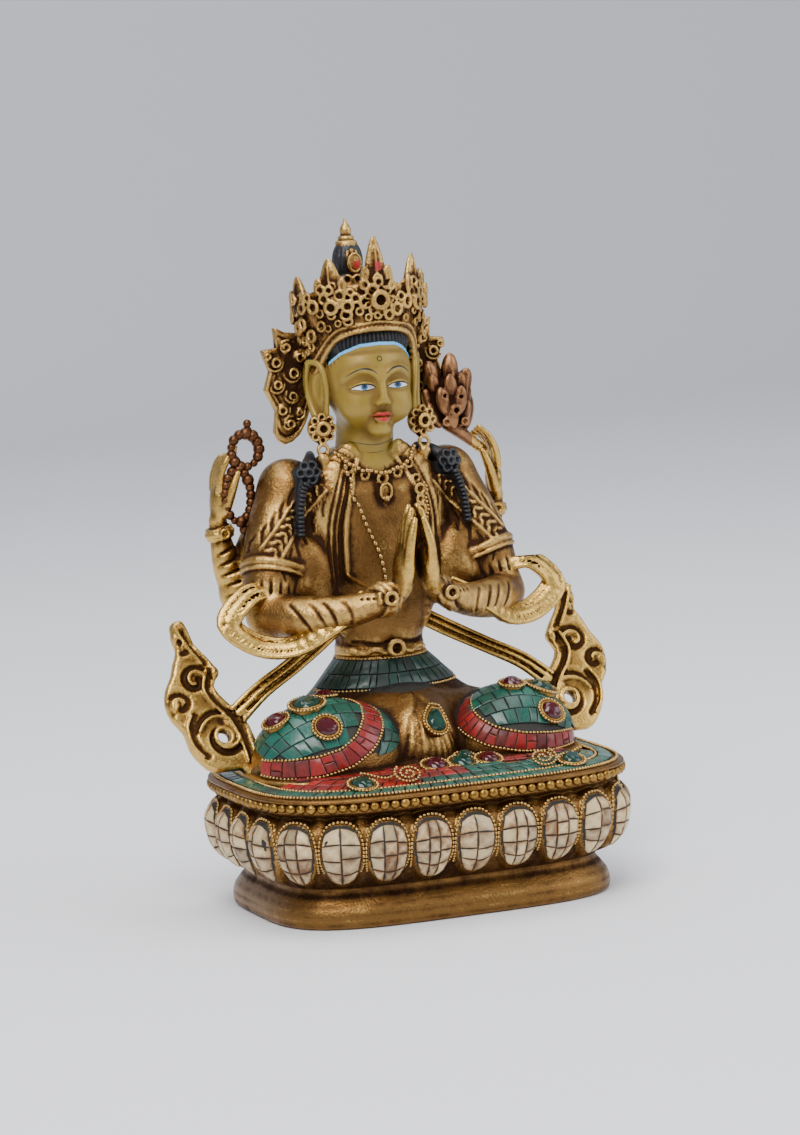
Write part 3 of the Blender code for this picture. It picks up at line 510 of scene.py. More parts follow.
def set_relief(obj: bpy.types.Object, relief: np.ndarray) -> None:
    """Stores the relief that the finishes read at each point: low for grime and painted shade, high for wear
    and a painted highlight.
    """
    layer = obj.data.attributes.new("relief", "FLOAT", "POINT")
    layer.data.foreach_set("value", relief.astype(np.float32))


class Palette:
    """Makes each finish's material once."""

    def __init__(self) -> None:
        self._made: dict[str, bpy.types.Material] = {}
        self._patina_and_light = self._make_patina_and_light()

    @staticmethod
    def _make_patina_and_light() -> bpy.types.NodeTree:
        """Node group that blends three colours by relief and noise, darkening hollows with grime and painted
        shade and lightening crests with wear and a painted highlight, and gives roughness and grain.
        """
        group = bpy.data.node_groups.new("Patina", "ShaderNodeTree")
        face = group.interface
        for name, kind in (
            ("Base", "NodeSocketColor"), ("Dark", "NodeSocketColor"), ("Bright", "NodeSocketColor"),
            ("Scale", "NodeSocketFloat"), ("Rough", "NodeSocketFloat"), ("WearAndHighlight", "NodeSocketFloat")
        ):
            face.new_socket(name, in_out="INPUT", socket_type=kind)
        for name, kind in (
            ("Color", "NodeSocketColor"), ("Roughness", "NodeSocketFloat"), ("Height", "NodeSocketFloat")
        ):
            face.new_socket(name, in_out="OUTPUT", socket_type=kind)
        nodes, links = group.nodes, group.links
        source = nodes.new("NodeGroupInput")
        sink = nodes.new("NodeGroupOutput")
        place = nodes.new("ShaderNodeTexCoord")
        relief = nodes.new("ShaderNodeAttribute")
        relief.attribute_name = "relief"
        tint = nodes.new("ShaderNodeAttribute")
        tint.attribute_name = "tint"

        def noise(scale_by: float, detail: float) -> bpy.types.Node:
            node = nodes.new("ShaderNodeTexNoise")
            node.inputs["Detail"].default_value = detail
            node.inputs["Roughness"].default_value = 0.6
            times = nodes.new("ShaderNodeMath")
            times.operation = "MULTIPLY"
            times.inputs[1].default_value = scale_by
            links.new(source.outputs["Scale"], times.inputs[0])
            links.new(times.outputs[0], node.inputs["Scale"])
            links.new(place.outputs["Object"], node.inputs["Vector"])
            return node

        def ranged(
            value: bpy.types.NodeSocket, a: float, b: float, low: float = 0.0, high: float = 1.0
        ) -> bpy.types.NodeSocket:
            node = nodes.new("ShaderNodeMapRange")
            node.inputs["From Min"].default_value = a
            node.inputs["From Max"].default_value = b
            node.inputs["To Min"].default_value = low
            node.inputs["To Max"].default_value = high
            links.new(value, node.inputs["Value"])
            return node.outputs["Result"]

        def math_node(
            kind: str, a: bpy.types.NodeSocket, b: bpy.types.NodeSocket | float
        ) -> bpy.types.NodeSocket:
            node = nodes.new("ShaderNodeMath")
            node.operation = kind
            node.use_clamp = kind != "ADD"
            links.new(a, node.inputs[0])
            if isinstance(b, float):
                node.inputs[1].default_value = b
            else:
                links.new(b, node.inputs[1])
            return node.outputs[0]

        def mixed(
            share: bpy.types.NodeSocket, a: bpy.types.NodeSocket, b: bpy.types.NodeSocket
        ) -> bpy.types.NodeSocket:
            node = nodes.new("ShaderNodeMix")
            node.data_type = "RGBA"
            links.new(share, node.inputs["Factor"])
            links.new(a, node.inputs["A"])
            links.new(b, node.inputs["B"])
            return node.outputs["Result"]

        wide, broad, fine = noise(0.3, 3.0), noise(1.0, 4.0), noise(6.0, 3.0)
        signal = math_node(
            "ADD", relief.outputs["Fac"], ranged(broad.outputs["Fac"], 0.25, 0.75, -0.34, 0.34)
        )
        signal = math_node("ADD", signal, ranged(fine.outputs["Fac"], 0.25, 0.75, -0.2, 0.2))
        signal = math_node("ADD", signal, ranged(wide.outputs["Fac"], 0.3, 0.7, -0.26, 0.26))
        # low relief blends towards the dark colour: grime and painted shade in the hollows
        dirt_and_shade = ranged(signal, 0.06, -0.7)
        # high relief blends towards the bright colour: wear and a painted highlight on the crests
        wear_and_highlight = math_node("MULTIPLY", ranged(signal, 0.38, 1.15), source.outputs["WearAndHighlight"])
        colour = mixed(dirt_and_shade, source.outputs["Base"], source.outputs["Dark"])
        colour = mixed(wear_and_highlight, colour, source.outputs["Bright"])
        shade = nodes.new("ShaderNodeHueSaturation")
        links.new(colour, shade.inputs["Color"])
        links.new(
            math_node("ADD", ranged(tint.outputs["Fac"], 0.0, 1.0, 0.0, 0.9), 0.55), shade.inputs["Value"]
        )
        links.new(shade.outputs["Color"], sink.inputs["Color"])
        rough = math_node("ADD", source.outputs["Rough"], ranged(dirt_and_shade, 0.0, 1.0, -0.04, 0.3))
        rough = math_node("ADD", rough, ranged(fine.outputs["Fac"], 0.3, 0.7, -0.08, 0.08))
        links.new(rough, sink.inputs["Roughness"])
        links.new(
            math_node("ADD", fine.outputs["Fac"], ranged(broad.outputs["Fac"], 0.0, 1.0, 0.0, 0.6)),
            sink.inputs["Height"]
        )
        return group

    def get(self, finish: Finish) -> bpy.types.Material:
        """The material of a finish."""
        if finish.name in self._made:
            return self._made[finish.name]
        material = bpy.data.materials.new(finish.name)
        material.use_nodes = True
        nodes, links = material.node_tree.nodes, material.node_tree.links
        shader = nodes["Principled BSDF"]
        shader.inputs["Metallic"].default_value = finish.metallic
        shader.inputs["Coat Weight"].default_value = finish.coat
        shader.inputs["Coat Roughness"].default_value = 0.12
        patina_and_light = nodes.new("ShaderNodeGroup")
        patina_and_light.node_tree = self._patina_and_light
        for socket, value in (("Base", finish.base), ("Dark", finish.dark), ("Bright", finish.bright)):
            patina_and_light.inputs[socket].default_value = (*value, 1)
        patina_and_light.inputs["Scale"].default_value = finish.grain
        patina_and_light.inputs["Rough"].default_value = finish.roughness
        patina_and_light.inputs["WearAndHighlight"].default_value = 0.8
        links.new(patina_and_light.outputs["Color"], shader.inputs["Base Color"])
        links.new(patina_and_light.outputs["Roughness"], shader.inputs["Roughness"])
        if finish.bump:
            bump = nodes.new("ShaderNodeBump")
            bump.inputs["Distance"].default_value = finish.bump
            bump.inputs["Strength"].default_value = 0.6
            links.new(patina_and_light.outputs["Height"], bump.inputs["Height"])
            links.new(bump.outputs["Normal"], shader.inputs["Normal"])
        self._made[finish.name] = material
        return material


@dataclass
class Workshop:
    """What every sub-assembly needs: the finishes, the quality and the seeded variation."""

    palette: Palette
    quality: Quality
    chance: np.random.Generator = field(default_factory=lambda: np.random.default_rng(SEED))

    def field(self, low: Sequence[float], high: Sequence[float], step: float) -> Field:
        """An empty field at this quality."""
        return Field(low, high, step * self.quality.value)

    def cast(
        self, name: str, shape: Field, finishes: Sequence[Finish],
        paint: Callable[[np.ndarray], np.ndarray] | None = None, floor: float = FIGURE_FLOOR
    ) -> bpy.types.Object:
        """Turns a field into a mesh and paints it.

        Args:
            name: name of the object.
            shape: the sculpted field.
            finishes: its materials.
            paint: gives each face's material number from its middle point.
            floor: height of the field's zero.
        """
        points, faces, relief = shape.skin()
        obj = new_mesh(name, points, faces, floor)
        set_relief(obj, relief)
        self.tint(obj, np.full(len(points), 0.5))
        for finish in finishes:
            obj.data.materials.append(self.palette.get(finish))
        if paint is not None:
            numbers = paint(points[faces].mean(1))
            obj.data.polygons.foreach_set("material_index", numbers.astype(np.int32))
        if len(faces) > 12000:
            self._thin(obj)
        log.info("%s: %d faces", name, len(obj.data.polygons))
        return obj

    @staticmethod
    def _thin(obj: bpy.types.Object, share: float = 0.52) -> None:
        """Merges faces where the surface is nearly flat, down to a share of them."""
        modifier = obj.modifiers.new("thin", "DECIMATE")
        modifier.ratio = share
        graph = bpy.context.evaluated_depsgraph_get()
        full = obj.data
        obj.data = bpy.data.meshes.new_from_object(
            obj.evaluated_get(graph), preserve_all_data_layers=True, depsgraph=graph
        )
        obj.modifiers.clear()
        name = full.name
        bpy.data.meshes.remove(full)
        obj.data.name = name

    @staticmethod
    def tint(obj: bpy.types.Object, values: np.ndarray) -> None:
        """Stores each point's lightness, 0.5 for none; on the knees' turquoise it also holds grime and
        painted shade low down and a painted highlight high up.
        """
        layer = obj.data.attributes.new("tint", "FLOAT", "POINT")
        layer.data.foreach_set("value", values.astype(np.float32))

    def hand_over(self, obj: bpy.types.Object, slot: str, *nodes: str) -> None:
        """Parents a finished piece to the root body and hides the nodes of the model that it stands for."""
        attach(obj, "root")
        if nodes:
            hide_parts(*nodes)


class BeadMaker:
    """Threads beads on curves with a Geometry Nodes modifier and keeps the result as a mesh."""

    def __init__(self, workshop: Workshop) -> None:
        self.workshop = workshop
        self.group = self._make_group()

    @staticmethod
    def _make_group() -> bpy.types.NodeTree:
        group = bpy.data.node_groups.new("BeadRow", "GeometryNodeTree")
        face = group.interface
        face.new_socket("Geometry", in_out="INPUT", socket_type="NodeSocketGeometry")
        for name in ("Spacing", "Radius", "Length", "Unevenness"):
            face.new_socket(name, in_out="INPUT", socket_type="NodeSocketFloat")
        face.new_socket("Material", in_out="INPUT", socket_type="NodeSocketMaterial")
        face.new_socket("Geometry", in_out="OUTPUT", socket_type="NodeSocketGeometry")
        nodes, links = group.nodes, group.links
        source, sink = nodes.new("NodeGroupInput"), nodes.new("NodeGroupOutput")
        spaced = nodes.new("GeometryNodeResampleCurve")
        spaced.mode = "LENGTH"
        links.new(source.outputs["Geometry"], spaced.inputs["Curve"])
        links.new(source.outputs["Spacing"], spaced.inputs["Length"])
        bead = nodes.new("GeometryNodeMeshUVSphere")
        bead.inputs["Segments"].default_value = 8
        bead.inputs["Rings"].default_value = 5
        bead.inputs["Radius"].default_value = 1.0
        tangent = nodes.new("GeometryNodeInputTangent")
        turn = nodes.new("FunctionNodeAlignRotationToVector")
        turn.axis = "Z"
        links.new(tangent.outputs["Tangent"], turn.inputs["Vector"])
        size = nodes.new("ShaderNodeCombineXYZ")
        links.new(source.outputs["Radius"], size.inputs["X"])
        links.new(source.outputs["Radius"], size.inputs["Y"])
        links.new(source.outputs["Length"], size.inputs["Z"])
        uneven = nodes.new("FunctionNodeRandomValue")
        uneven.data_type = "FLOAT"
        low, high = nodes.new("ShaderNodeMath"), nodes.new("ShaderNodeMath")
        low.operation, high.operation = "SUBTRACT", "ADD"
        for node in (low, high):
            node.inputs[0].default_value = 1.0
            links.new(source.outputs["Unevenness"], node.inputs[1])
        float_inputs = [s for s in uneven.inputs if s.type == "VALUE"]
        links.new(low.outputs[0], float_inputs[0])
        links.new(high.outputs[0], float_inputs[1])
        scaled = nodes.new("ShaderNodeVectorMath")
        scaled.operation = "SCALE"
        links.new(size.outputs["Vector"], scaled.inputs[0])
        links.new([s for s in uneven.outputs if s.type == "VALUE"][0], scaled.inputs["Scale"])
        copies = nodes.new("GeometryNodeInstanceOnPoints")
        links.new(spaced.outputs["Curve"], copies.inputs["Points"])
        links.new(bead.outputs["Mesh"], copies.inputs["Instance"])
        links.new(turn.outputs["Rotation"], copies.inputs["Rotation"])
        links.new(scaled.outputs["Vector"], copies.inputs["Scale"])
        real = nodes.new("GeometryNodeRealizeInstances")
        links.new(copies.outputs["Instances"], real.inputs["Geometry"])
        smooth = nodes.new("GeometryNodeSetShadeSmooth")
        links.new(real.outputs["Geometry"], smooth.inputs["Geometry"])
        finish = nodes.new("GeometryNodeSetMaterial")
        links.new(smooth.outputs["Geometry"], finish.inputs["Geometry"])
        links.new(source.outputs["Material"], finish.inputs["Material"])
        links.new(finish.outputs["Geometry"], sink.inputs["Geometry"])
        return group

    def thread(
        self, name: str, paths: Iterable[np.ndarray], spacing: float, radius: float,
        length: float | None = None, closed: bool = False, finish: Finish = WIRE, uneven: float = 0.08,
        floor: float = 0.0
    ) -> bpy.types.Object:
        """A mesh of beads along paths in millimetres.

        Args:
            name: name of the object.
            paths: the curves.
            spacing: distance between beads.
            radius: a bead's radius.
            length: half its length along the curve, when it isn't round.
            closed: whether the curves close on themselves.
            finish: their finish.
            uneven: how much their sizes vary.
            floor: height of the paths' zero.
        """
        curve = bpy.data.curves.new(name, "CURVE")
        curve.dimensions = "3D"
        for path in paths:
            spline = curve.splines.new("POLY")
            spline.points.add(len(path) - 1)
            flat = np.c_[np.array(path)[:, :3] * MM, np.ones(len(path))]
            flat[:, 2] += floor * MM
            spline.points.foreach_set("co", flat.ravel())
            spline.use_cyclic_u = closed
        holder = bpy.data.objects.new(name + "_line", curve)
        bpy.context.scene.collection.objects.link(holder)
        modifier = holder.modifiers.new("beads", "NODES")
        modifier.node_group = self.group
        values = {
            "Spacing": spacing * MM,
            "Radius": radius * MM,
            "Length": (length or radius) * MM,
            "Unevenness": uneven,
            "Material": self.workshop.palette.get(finish),
        }
        for item in self.group.interface.items_tree:
            if item.item_type == "SOCKET" and item.in_out == "INPUT" and item.name in values:
                modifier[item.identifier] = values[item.name]
        graph = bpy.context.evaluated_depsgraph_get()
        graph.update()
        mesh = bpy.data.meshes.new_from_object(holder.evaluated_get(graph))
        mesh.name = name
        bpy.data.objects.remove(holder)
        obj = bpy.data.objects.new(name, mesh)
        bpy.context.scene.collection.objects.link(obj)
        if not mesh.materials:
            mesh.materials.append(self.workshop.palette.get(finish))
        n = len(mesh.vertices)
        set_relief(obj, np.tile(np.linspace(0.15, 0.45, 5), n // 5 + 1)[:n])
        self.workshop.tint(obj, np.full(n, 0.5))
        log.info("%s: %d points", name, n)
        return obj


class Drape:
    """Finds points on the surface of finished meshes. Lengths are in millimetres."""

    def __init__(self, obj: bpy.types.Object) -> None:
        graph = bpy.context.evaluated_depsgraph_get()
        graph.update()
        self.tree = BVHTree.FromObject(obj, graph)

    def near(self, point: Sequence[float], lift: float = 0.0) -> np.ndarray:
        """The nearest point of the surface, raised by lift."""
        spot, normal, _, _ = self.tree.find_nearest(Vector(point) * MM)
        return np.array(spot + normal * lift * MM) / MM

    def hit(self, start: Sequence[float], way: Sequence[float]) -> tuple[np.ndarray, np.ndarray] | None:
        """Where a ray meets the surface, and the normal there."""
        spot, normal, _, _ = self.tree.ray_cast(Vector(start) * MM, Vector(way).normalized())
        if spot is None:
            return None
        return np.array(spot) / MM, np.array(normal)

    def down(self, x: float, y: float, top: float = 150.0) -> tuple[np.ndarray, np.ndarray] | None:
        """What lies straight below a height."""
        return self.hit((x, y, top), (0, 0, -1))

    def path(self, points: Path, lift: float = 0.3, steps: int = 6, closed: bool = False) -> np.ndarray:
        """A smooth path laid on the surface."""
        return np.array(
            [self.near(p[:3], lift) for p in smooth_path([q[:3] for q in points], steps, closed)]
        )


Surface = Callable[[float, float], "tuple[np.ndarray, np.ndarray] | None"]


class Mosaic:
    """Single tiles cut to a surface, each with its own lightness and slight tilt.

    Args:
        workshop: the shared finishes and variation.
        thickness: height of a tile over the surface.
        joint: width of the joints.
    """

    def __init__(self, workshop: Workshop, thickness: float = 0.6, joint: float = 0.28) -> None:
        self.workshop = workshop
        self.thickness = thickness
        self.joint = joint
        self.points: list[np.ndarray] = []
        self.faces: list[tuple[int, ...]] = []
        self.tints: list[float] = []

    def tile(self, surface: Surface, corners: Sequence[tuple[float, float]], tint: float) -> bool:
        """Adds the tile between four corners of the surface, and says whether all of it lies on it."""
        c = np.array(corners, float)
        ring = [
            c[0], (c[0] + c[1]) / 2, c[1], (c[1] + c[2]) / 2, c[2], (c[2] + c[3]) / 2, c[3],
            (c[3] + c[0]) / 2
        ]
        found = [surface(*p) for p in [*ring, c.mean(0)]]
        if any(f is None for f in found):
            return False
        spots = np.array([f[0] for f in found])
        normals = np.array([f[1] for f in found])
        middle, up = spots[8], normals[8]
        reach = np.linalg.norm(spots[:8] - middle, axis=1, keepdims=True)
        if reach.min() < 0.45:
            return False
        inward = (middle - spots[:8]) / reach
        edge = spots[:8] + inward * self.joint / 2 * 1.3
        chance = self.workshop.chance
        tilt = np.cross(up, chance.normal(0, 0.02, 3))
        first = len(self.points)
        low = edge - normals[:8] * 0.35
        shoulder = edge + normals[:8] * (self.thickness - 0.14)
        top = edge + inward * 0.3 + normals[:8] * self.thickness
        for group in (low, shoulder, top, (middle + up * self.thickness)[None]):
            for p in group:
                self.points.append(p + up * ((p - middle) @ tilt) * 0.9)
                self.tints.append(tint)
        for level in (0, 8):
            for i in range(8):
                j = (i + 1) % 8
                self.faces.append(
                    (first + level + i, first + level + j, first + level + 8 + j, first + level + 8 + i)
                )
        for i in (0, 2, 4, 6):
            self.faces.append((first + 24, first + 16 + (i - 1) % 8, first + 16 + i, first + 16 + i + 1))
        return True

    def build(self, name: str, finish: Finish, floor: float = 0.0) -> bpy.types.Object:
        """Makes the mesh of all tiles added so far and starts afresh."""
        obj = new_mesh(name, np.array(self.points), self.faces, floor)
        obj.data.materials.append(self.workshop.palette.get(finish))
        obj.data.set_sharp_from_angle(angle=math.radians(28))
        foot, shoulder, edge, middle = finish.grime
        rim = np.tile(
            np.r_[np.full(8, foot), np.full(8, shoulder), np.full(8, edge), middle],
            len(self.points) // 25
        )
        chance = self.workshop.chance
        rim += np.repeat(chance.normal(0, 0.14, len(rim) // 25), 25) + chance.normal(0, 0.1, len(rim))
        set_relief(obj, rim)
        self.workshop.tint(obj, np.array(self.tints))
        log.info("%s: %d tiles", name, len(self.points) // 25)
        self.points, self.faces, self.tints = [], [], []
        return obj


@dataclass
class SeatOutline:
    """The rounded oblong of the seat's rim, with stations at even spacing.

    Args:
        half_width: half of its width.
        half_depth: half of its depth.
        squareness: exponent of its superellipse.
        count: number of stations.
        shift: how far its middle lies back.
    """

    half_width: float = 62.5
    half_depth: float = 47.0
    squareness: float = 3.5
    count: int = 832
    shift: float = 0.0

    def points(self, outset: float = 0.0, count: int | None = None) -> np.ndarray:
        """Stations of the outline moved outwards, from the front's middle towards +X."""
        n = count or self.count
        t = np.linspace(0, math.tau, 7200, endpoint=False) - math.pi / 2
        c, s = np.cos(t), np.sin(t)
        x = (self.half_width + outset) * np.sign(c) * np.abs(c) ** (2 / self.squareness)
        y = (self.half_depth + outset) * np.sign(s) * np.abs(s) ** (2 / self.squareness)
        way = np.r_[0, np.cumsum(np.hypot(np.diff(np.r_[x, x[0]]), np.diff(np.r_[y, y[0]])))]
        goal = way[-1] * np.arange(n) / n
        return np.c_[
            np.interp(goal, way, np.r_[x, x[0]]), np.interp(goal, way, np.r_[y, y[0]]) + self.shift
        ]

    def length(self) -> float:
        """The outline's length."""
        p = self.points()
        return float(np.linalg.norm(np.roll(p, -1, 0) - p, axis=1).sum())


class LotusSeat:
    """The cast seat: foot, two rows of petals, beaded rim and flat top, with bone in the petals."""

    PETALS = 26
    PROFILE = (
        (-6.4, 0.0), (-5.3, 0.7), (-4.8, 2.2), (-4.9, 4.4), (-5.6, 6.6), (-7.4, 9.0), (-8.9, 10.8),
        (-9.0, 12.2),
        (-7.6, 13.6), (-5.4, 16.0), (-3.9, 19.0), (-3.0, 22.5), (-2.6, 26.0), (-2.6, 29.5), (-3.2, 32.0),
        (-4.4, 34.0), (-4.2, 35.4), (-2.6, 36.4), (-1.0, 37.2), (-0.5, 38.4), (-0.5, 39.8), (0.5, 40.6),
        (1.2, 41.0), (1.3, 41.6), (0.7, 42.1), (-0.6, 42.3), (-2.4, 42.25), (-9.0, 42.25), (-24.0, 42.25),
    )

    def __init__(self, workshop: Workshop, beads: BeadMaker) -> None:
        self.workshop = workshop
        self.beads = beads
        self.outline = SeatOutline(count=728 if workshop.quality is Quality.FINAL else 416)

    @staticmethod
    def bulge(across: np.ndarray, z: np.ndarray) -> tuple[np.ndarray, np.ndarray]:
        """How far the petals stand out at a place, and the relative distance from the petal's middle."""
        up = z - 24.6
        half = 7.35 - 0.07 * np.maximum(-up, 0) ** 1.4
        rho = (np.abs(across / half) ** 2.5 + np.abs(up / 11.3) ** 2.5) ** (1 / 2.5)
        body = np.clip(1 - rho**2.6, 0, 1) ** 0.5 * (5.6 + 0.10 * up)
        edge = 0.5 * np.exp(-(((rho - 0.93) / 0.06) ** 2)) * (up > -8)
        return body + edge, rho

    def build(self) -> None:
        """Makes the seat and hands its pieces over."""
        profile = np.array(smooth_path(self.PROFILE[:-3], 3)).tolist() + [
            list(p) for p in self.PROFILE[-3:]
        ]
        profile = np.array(profile)
        count = self.outline.count
        base = self.outline.points()
        along = np.roll(base, -1, 0) - np.roll(base, 1, 0)
        out = np.c_[along[:, 1], -along[:, 0]]
        out /= np.linalg.norm(out, axis=1, keepdims=True)
        pitch = self.outline.length() / self.PETALS
        stations = np.arange(count) * self.outline.length() / count
        across = (stations + pitch / 2) % pitch - pitch / 2
        rows, reliefs, masks = [], [], []
        for outset, z in profile:
            if outset < -8.99 and z > 42:
                ring = self.outline.points(outset, count)
                rows.append(np.c_[ring, np.full(count, z)])
                reliefs.append(np.full(count, -0.6))
                masks.append(np.ones(count))
                continue
            petal, rho = self.bulge(across, np.full(count, z))
            tip_across = (stations % pitch) - pitch / 2
            second = 2.6 * np.clip(1 - (tip_across / 5.0) ** 2 - ((z - 31.0) / 4.6) ** 2, 0, 1) ** 0.5
            if not 12.6 < z < 36.5:
                petal, second = petal * 0, second * 0
            lift = np.maximum(petal, second)
            reach = outset + lift
            shift = out * reach[:, None]
            rows.append(np.c_[base + shift, np.full(count, z)])
            # relief by place: low between the petals, in the groove above the foot and under the rim, for
            # grime and painted shade; high on the petals and their raised borders, for wear and a painted
            # highlight
            crest = np.where(lift > 0.2, 0.25, -0.55 if 12.6 < z < 36.5 else 0.0)
            crest = crest + 0.5 * np.exp(-(((rho - 0.93) / 0.07) ** 2)) * (lift > 0.2)
            if z < 12:
                crest = np.full(
                    count,
                    0.1 - 0.6 * math.exp(-(((z - 11.0) / 2.2) ** 2)) + 0.3 * math.sin(2.3 * z + 1.0)
                )
            if 34.0 < z < 37.3:
                crest = crest * 0 - 0.3
            reliefs.append(crest)
            masks.append(
                ((rho < 0.86) & (lift > 1.0)).astype(float) if 12.6 < z < 36.5 else np.zeros(count)
            )
        points = np.concatenate(rows)
        levels = len(rows)
        grid = np.arange(levels * count).reshape(levels, count)
        a, b = grid[:-1], grid[1:]
        faces = np.stack([a, np.roll(a, -1, 1), np.roll(b, -1, 1), b], -1).reshape(-1, 4)
        seat = new_mesh("lotus_seat_casting", points, faces)
        bottom = tuple(int(i) for i in grid[0][::-1])
        top = tuple(int(i) for i in grid[-1])
        ends = new_mesh("lotus_seat_ends", points, [bottom, top])
        relief = np.concatenate(reliefs)
        set_relief(seat, relief)
        self.workshop.tint(seat, np.full(len(points), 0.5))
        for finish in (BRONZE, GROUT):
            seat.data.materials.append(self.workshop.palette.get(finish))
        dark = np.concatenate(masks)[faces].mean(1) > 0.5
        seat.data.polygons.foreach_set("material_index", dark.astype(np.int32))
        ends.data.materials.append(self.workshop.palette.get(GOLD))
        set_relief(ends, np.full(len(points), -0.1))
        self.workshop.tint(ends, np.full(len(points), 0.5))
        ends.data.shade_flat()
        self.workshop.hand_over(seat, "seat_brass", "lotus_seat")
        self.workshop.hand_over(ends, "seat_brass", "lotus_seat")
        self._bone(base, out, pitch)
        self._beadwork(base, out, pitch)

    def _place(
        self, station: float, z: float, base: np.ndarray, out: np.ndarray, pitch: float
    ) -> tuple[np.ndarray, np.ndarray]:
        """The seat's surface at a distance along the outline and a height, and the normal there."""
        profile = np.array(self.PROFILE[:24])

        def spot(s: float, h: float) -> np.ndarray:
            k = s / self.outline.length() * self.outline.count
            i = int(math.floor(k))
            t = k - i
            n = self.outline.count
            here = base[i % n] * (1 - t) + base[(i + 1) % n] * t
            way = out[i % n] * (1 - t) + out[(i + 1) % n] * t
            across = (s + pitch / 2) % pitch - pitch / 2
            lift, _ = self.bulge(np.array([across]), np.array([h]))
            reach = np.interp(h, profile[:, 1], profile[:, 0]) + lift[0]
            return np.array([*(here + way * reach), h])

        middle = spot(station, z)
        a = spot(station + 0.3, z) - spot(station - 0.3, z)
        b = spot(station, z + 0.3) - spot(station, z - 0.3)
        normal = np.cross(a, b)
        return middle, normal / np.linalg.norm(normal)

    def _bone(self, base: np.ndarray, out: np.ndarray, pitch: float) -> None:
        """Cuts the bone tiles of every petal."""
        chance = self.workshop.chance
        mosaic = Mosaic(self.workshop, 0.45, 0.42)
        for petal in range(self.PETALS):
            centre = petal * pitch
            half_width, half_height, middle = 5.75, 9.1, 24.2

            def surface(u: float, v: float) -> tuple[np.ndarray, np.ndarray]:
                a = u * math.sqrt(1 - 0.36 * v * v) * half_width * (1.0 + 0.15 * min(v, 0.2))
                b = v * math.sqrt(1 - 0.34 * u * u) * half_height
                return self._place(centre + a, middle + b, base, out, pitch)

            columns = [-1.0, chance.uniform(-0.12, 0.14), 1.0]
            if chance.random() < 0.3:
                columns = [-1.0, chance.uniform(-0.42, -0.3), chance.uniform(0.25, 0.4), 1.0]
            rows = [
                -1.0, chance.uniform(-0.62, -0.5), chance.uniform(-0.12, 0.02),
                chance.uniform(0.42, 0.56), 1.0
            ]
            for c0, c1 in zip(columns, columns[1:]):
                wobble = chance.normal(0, 0.035, len(rows))
                for k in range(len(rows) - 1):
                    low = rows[k] + wobble[k] * (k > 0)
                    high = rows[k + 1] + wobble[k + 1] * (k < len(rows) - 2)
                    tint = float(np.clip(chance.normal(0.46, 0.2), 0.05, 0.85))
                    mosaic.tile(surface, ((c0, low), (c1, low), (c1, high), (c0, high)), tint)
        names = [f"bone_petal_{i + 1:02d}" for i in range(self.PETALS)]
        self.workshop.hand_over(mosaic.build("bone_tiles", BONE), "bone", *names)

    def _beadwork(self, base: np.ndarray, out: np.ndarray, pitch: float) -> None:
        """Threads the petals' borders and the rows of beads round the rim."""
        borders = []
        for petal in range(self.PETALS):
            path = []
            for angle in np.radians(np.linspace(-28, 208, 34)):
                c, s = math.cos(angle), math.sin(angle)
                a = 6.75 * math.copysign(abs(c) ** 0.8, c)
                b = 10.3 * math.copysign(abs(s) ** 0.8, s)
                spot, normal = self._place(petal * pitch + a, 24.6 + b, base, out, pitch)
                path.append(spot + normal * 0.15)
            borders.append(np.array(path))
        self.workshop.hand_over(
            self.beads.thread("petal_borders", borders, 1.3, 0.62), "seat_brass", "lotus_seat"
        )
        rim = np.c_[base + out * 0.35, np.full(len(base), 39.5)]
        self.workshop.hand_over(
            self.beads.thread("rim_beads", [rim], 3.3, 1.7, 1.7, True, GOLD, 0.12), "seat_brass",
            "lotus_seat"
        )
        fine = np.c_[base - out * 0.9, np.full(len(base), 42.75)]
        self.workshop.hand_over(
            self.beads.thread("rim_wire_beads", [fine], 1.2, 0.62, 0.56, True), "wire", "rim_wire"
        )


@dataclass(frozen=True)
class Lobe:
    """A bent knee as an ellipsoid with its inlay.

    Args:
        centre: its middle.
        radii: its half-sizes.
        lean: x and y of the direction to the middle of its turquoise.
        band: azimuth, elevation and half-width in degrees along its coral band.
    """

    centre: tuple[float, float, float]
    radii: tuple[float, float, float]
    lean: tuple[float, float]
    band: tuple[tuple[float, float, float], ...]

    def spot(self, way: np.ndarray) -> tuple[np.ndarray, np.ndarray]:
        """The point of the surface in a direction of the unit sphere, and its normal."""
        radii = np.array(self.radii)
        normal = way / radii
        return np.array(self.centre) + radii * way, normal / np.linalg.norm(normal)

    def oval(self, u: float, v: float, reach: float = 1.16) -> tuple[np.ndarray, np.ndarray]:
        """The surface at a place of the square that is bent onto the knee's turquoise."""
        a, b = u * math.sqrt(1 - v * v / 2.3), v * math.sqrt(1 - u * u / 2.3)
        axis = np.array([*self.lean, 1.0])
        axis /= np.linalg.norm(axis)
        first = np.cross((0, 1, 0), axis)
        first /= np.linalg.norm(first)
        second = np.cross(axis, first)
        r = math.hypot(a, b) + 1e-9
        way = math.cos(r * reach) * axis + math.sin(r * reach) * (a / r * first + b / r * second)
        return self.spot(way)

    def belt(self, along: float, across: float) -> tuple[np.ndarray, np.ndarray]:
        """The surface along the coral band, from 0 to 1, and across it, from -1 to 1."""
        rows = np.array(self.band)
        t = along * (len(rows) - 1)
        knots = np.arange(len(rows))
        azimuth, height, half = (np.interp(t, knots, rows[:, k]) for k in range(3))
        ahead = np.array(
            [
                np.interp(t + 0.05, knots, rows[:, k]) - np.interp(t - 0.05, knots, rows[:, k])
                for k in (0, 1)
            ]
        )
        ahead[0] *= math.cos(math.radians(height))
        ahead /= np.linalg.norm(ahead) + 1e-9
        a = math.radians(azimuth - ahead[1] * across * half / max(math.cos(math.radians(height)), 0.3))
        e = math.radians(height + ahead[0] * across * half)
        return self.spot(np.array([math.cos(e) * math.cos(a), math.cos(e) * math.sin(a), math.sin(e)]))


